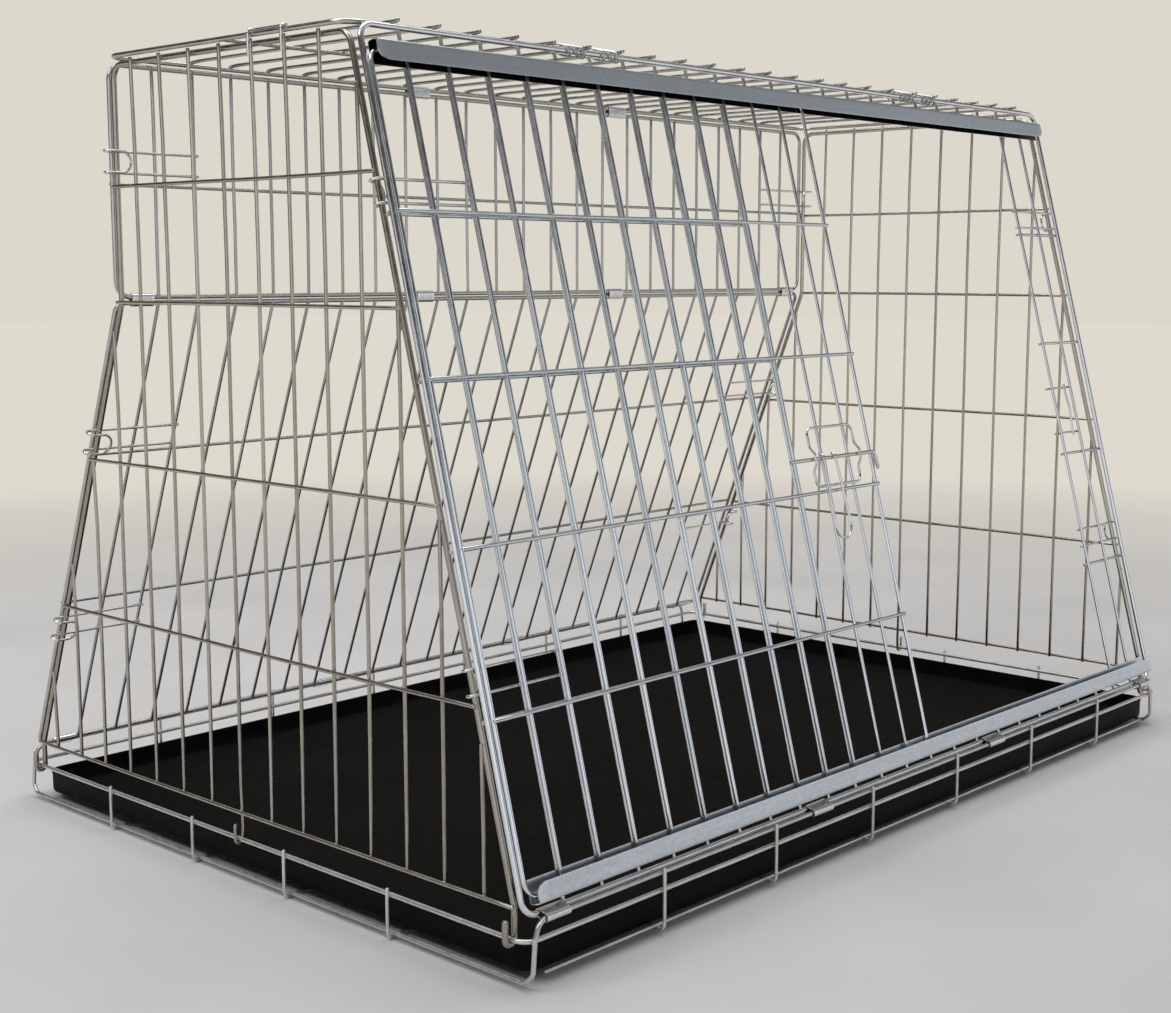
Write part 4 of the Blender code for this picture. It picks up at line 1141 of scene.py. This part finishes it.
for i, k in enumerate((0.60, 8.55, 15.52, 23.40), 1):
    clip("mid_hinge_clip_%d" % i, LOW_HEAD, R_FRAME, (Y_BACK, Z_MID_UP), R_FRAME, kx(k), 0.0200)
for i, k in enumerate((8.42, 15.55), 1):
    clip("roof_hinge_clip_%d" % i, (Y_BACK, Z_TOP), R_FRAME, (Y_BACK, Z_ROOF), R_FRAME, kx(k))
for i, k in enumerate((5.18, 6.18, 17.18, 18.18), 1):
    hinge_coil("front_hinge_coil_%d" % i, kx(k))

# ------------------------------------------------------------------ floor
me = bpy.data.meshes.new("floor")
S, z = 14.0, -0.0003
me.from_pydata([(-S, -S, z), (S, -S, z), (S, S, z), (-S, S, z)], [], [(0, 1, 2, 3)])
floor = bpy.data.objects.new("floor", me)
scene.collection.objects.link(floor)
m, nt, b = new_mat("floor_cloth")
tc = node(nt, "ShaderNodeTexCoord")
obj = tc.outputs["Object"]
ln = node(nt, "ShaderNodeVectorMath", operation='LENGTH')
nt.links.new(obj, ln.inputs[0])
far = mapr(nt, ln.outputs["Value"], 1.0, 2.4, 0, 1)
soft = noise_tex(nt, obj, 3.2, 3, 0.5)
near = ramp(nt, soft, ((0.3, (0.66, 0.645, 0.635)), (0.7, (0.74, 0.725, 0.715))))
nt.links.new(mixc(nt, far, near, (0.0, 0.0, 0.0)), b.inputs["Base Color"])
b.inputs["Emission Color"].default_value = (0.72, 0.685, 0.605, 1)
nt.links.new(far, b.inputs["Emission Strength"])
b.inputs["Roughness"].default_value = 0.9
b.inputs["Specular IOR Level"].default_value = 0.1
bump = node(nt, "ShaderNodeBump", Strength=0.10, Distance=0.002)
nt.links.new(noise_tex(nt, obj, 260, 3, 0.6), bump.inputs["Height"])
nt.links.new(bump.outputs[0], b.inputs["Normal"])
floor.data.materials.append(m)

# ------------------------------------------------------------------ world
world = bpy.data.worlds.new("room")
scene.world = world
world.use_nodes = True
nt = world.node_tree
bg = nt.nodes["Background"]
tc = node(nt, "ShaderNodeTexCoord")
sep = node(nt, "ShaderNodeSeparateXYZ")
nt.links.new(tc.outputs["Generated"], sep.inputs[0])


def dot(vec):
    d = node(nt, "ShaderNodeVectorMath", operation='DOT_PRODUCT')
    d.inputs[1].default_value = Vector(vec).normalized()
    nt.links.new(tc.outputs["Generated"], d.inputs[0])
    return d.outputs["Value"]


zc = sep.outputs[2]
wall = mapr(nt, dot((0.66, 0.75, 0.0)), 0.50, 0.95, 0, 1)
low_c = mixc(nt, wall, (0.085, 0.070, 0.058), (0.80, 0.76, 0.68))
mid_c = mixc(nt, wall, (0.046, 0.035, 0.026), (0.34, 0.31, 0.27))
env = mixc(nt, mapr(nt, zc, 0.06, 0.30, 0, 1), low_c, mid_c)
env = mixc(nt, mapr(nt, zc, 0.50, 0.85, 0, 1), env, (0.46, 0.47, 0.49))
patch = math2(nt, 'MULTIPLY', mapr(nt, dot((0.82, -0.57, 0.02)), 0.76, 0.95, 0, 1), mapr(nt, zc, 0.08, 0.34, 1, 0.44))
env = mixc(nt, patch, env, (0.80, 0.86, 0.92))
band = math2(nt, 'MULTIPLY', mapr(nt, dot((-0.80, -0.60, 0.0)), 0.45, 0.80, 0, 1), mapr(nt, zc, 0.255, 0.315, 1, 0))
env = mixc(nt, band, env, (0.94, 0.97, 1.06))
glass = math2(nt, 'MULTIPLY', mapr(nt, dot((-0.95, -0.30, 0.0)), 0.90, 0.975, 0, 1), mapr(nt, zc, 0.06, 0.26, 1, 0))
env = mixc(nt, glass, env, (0.92, 0.98, 1.08))
lp = node(nt, "ShaderNodeLightPath")
out = mixc(nt, lp.outputs["Is Camera Ray"], env, (0.72, 0.685, 0.605))
nt.links.new(out, bg.inputs["Color"])
bg.inputs["Strength"].default_value = 1.0


def area(name, loc, size, energy, colour, aim=(0, 0, 0.3)):
    li = bpy.data.lights.new(name, 'AREA')
    li.shape = 'RECTANGLE'
    li.size, li.size_y = size
    li.energy = energy
    li.color = colour
    o = bpy.data.objects.new(name, li)
    o.location = loc
    o.rotation_euler = (Vector(aim) - Vector(loc)).to_track_quat('-Z', 'Y').to_euler()
    scene.collection.objects.link(o)
    return o


area("softbox_top", (0.2, 0.2, 2.9), (2.4, 2.0), 42, (1.0, 0.98, 0.95))
area("window_left", (-1.85, 0.45, 2.15), (1.0, 1.0), 15, (0.86, 0.93, 1.0))

scene.view_settings.view_transform = 'Standard'
scene.view_settings.look = 'None'
scene.view_settings.exposure = 0.0
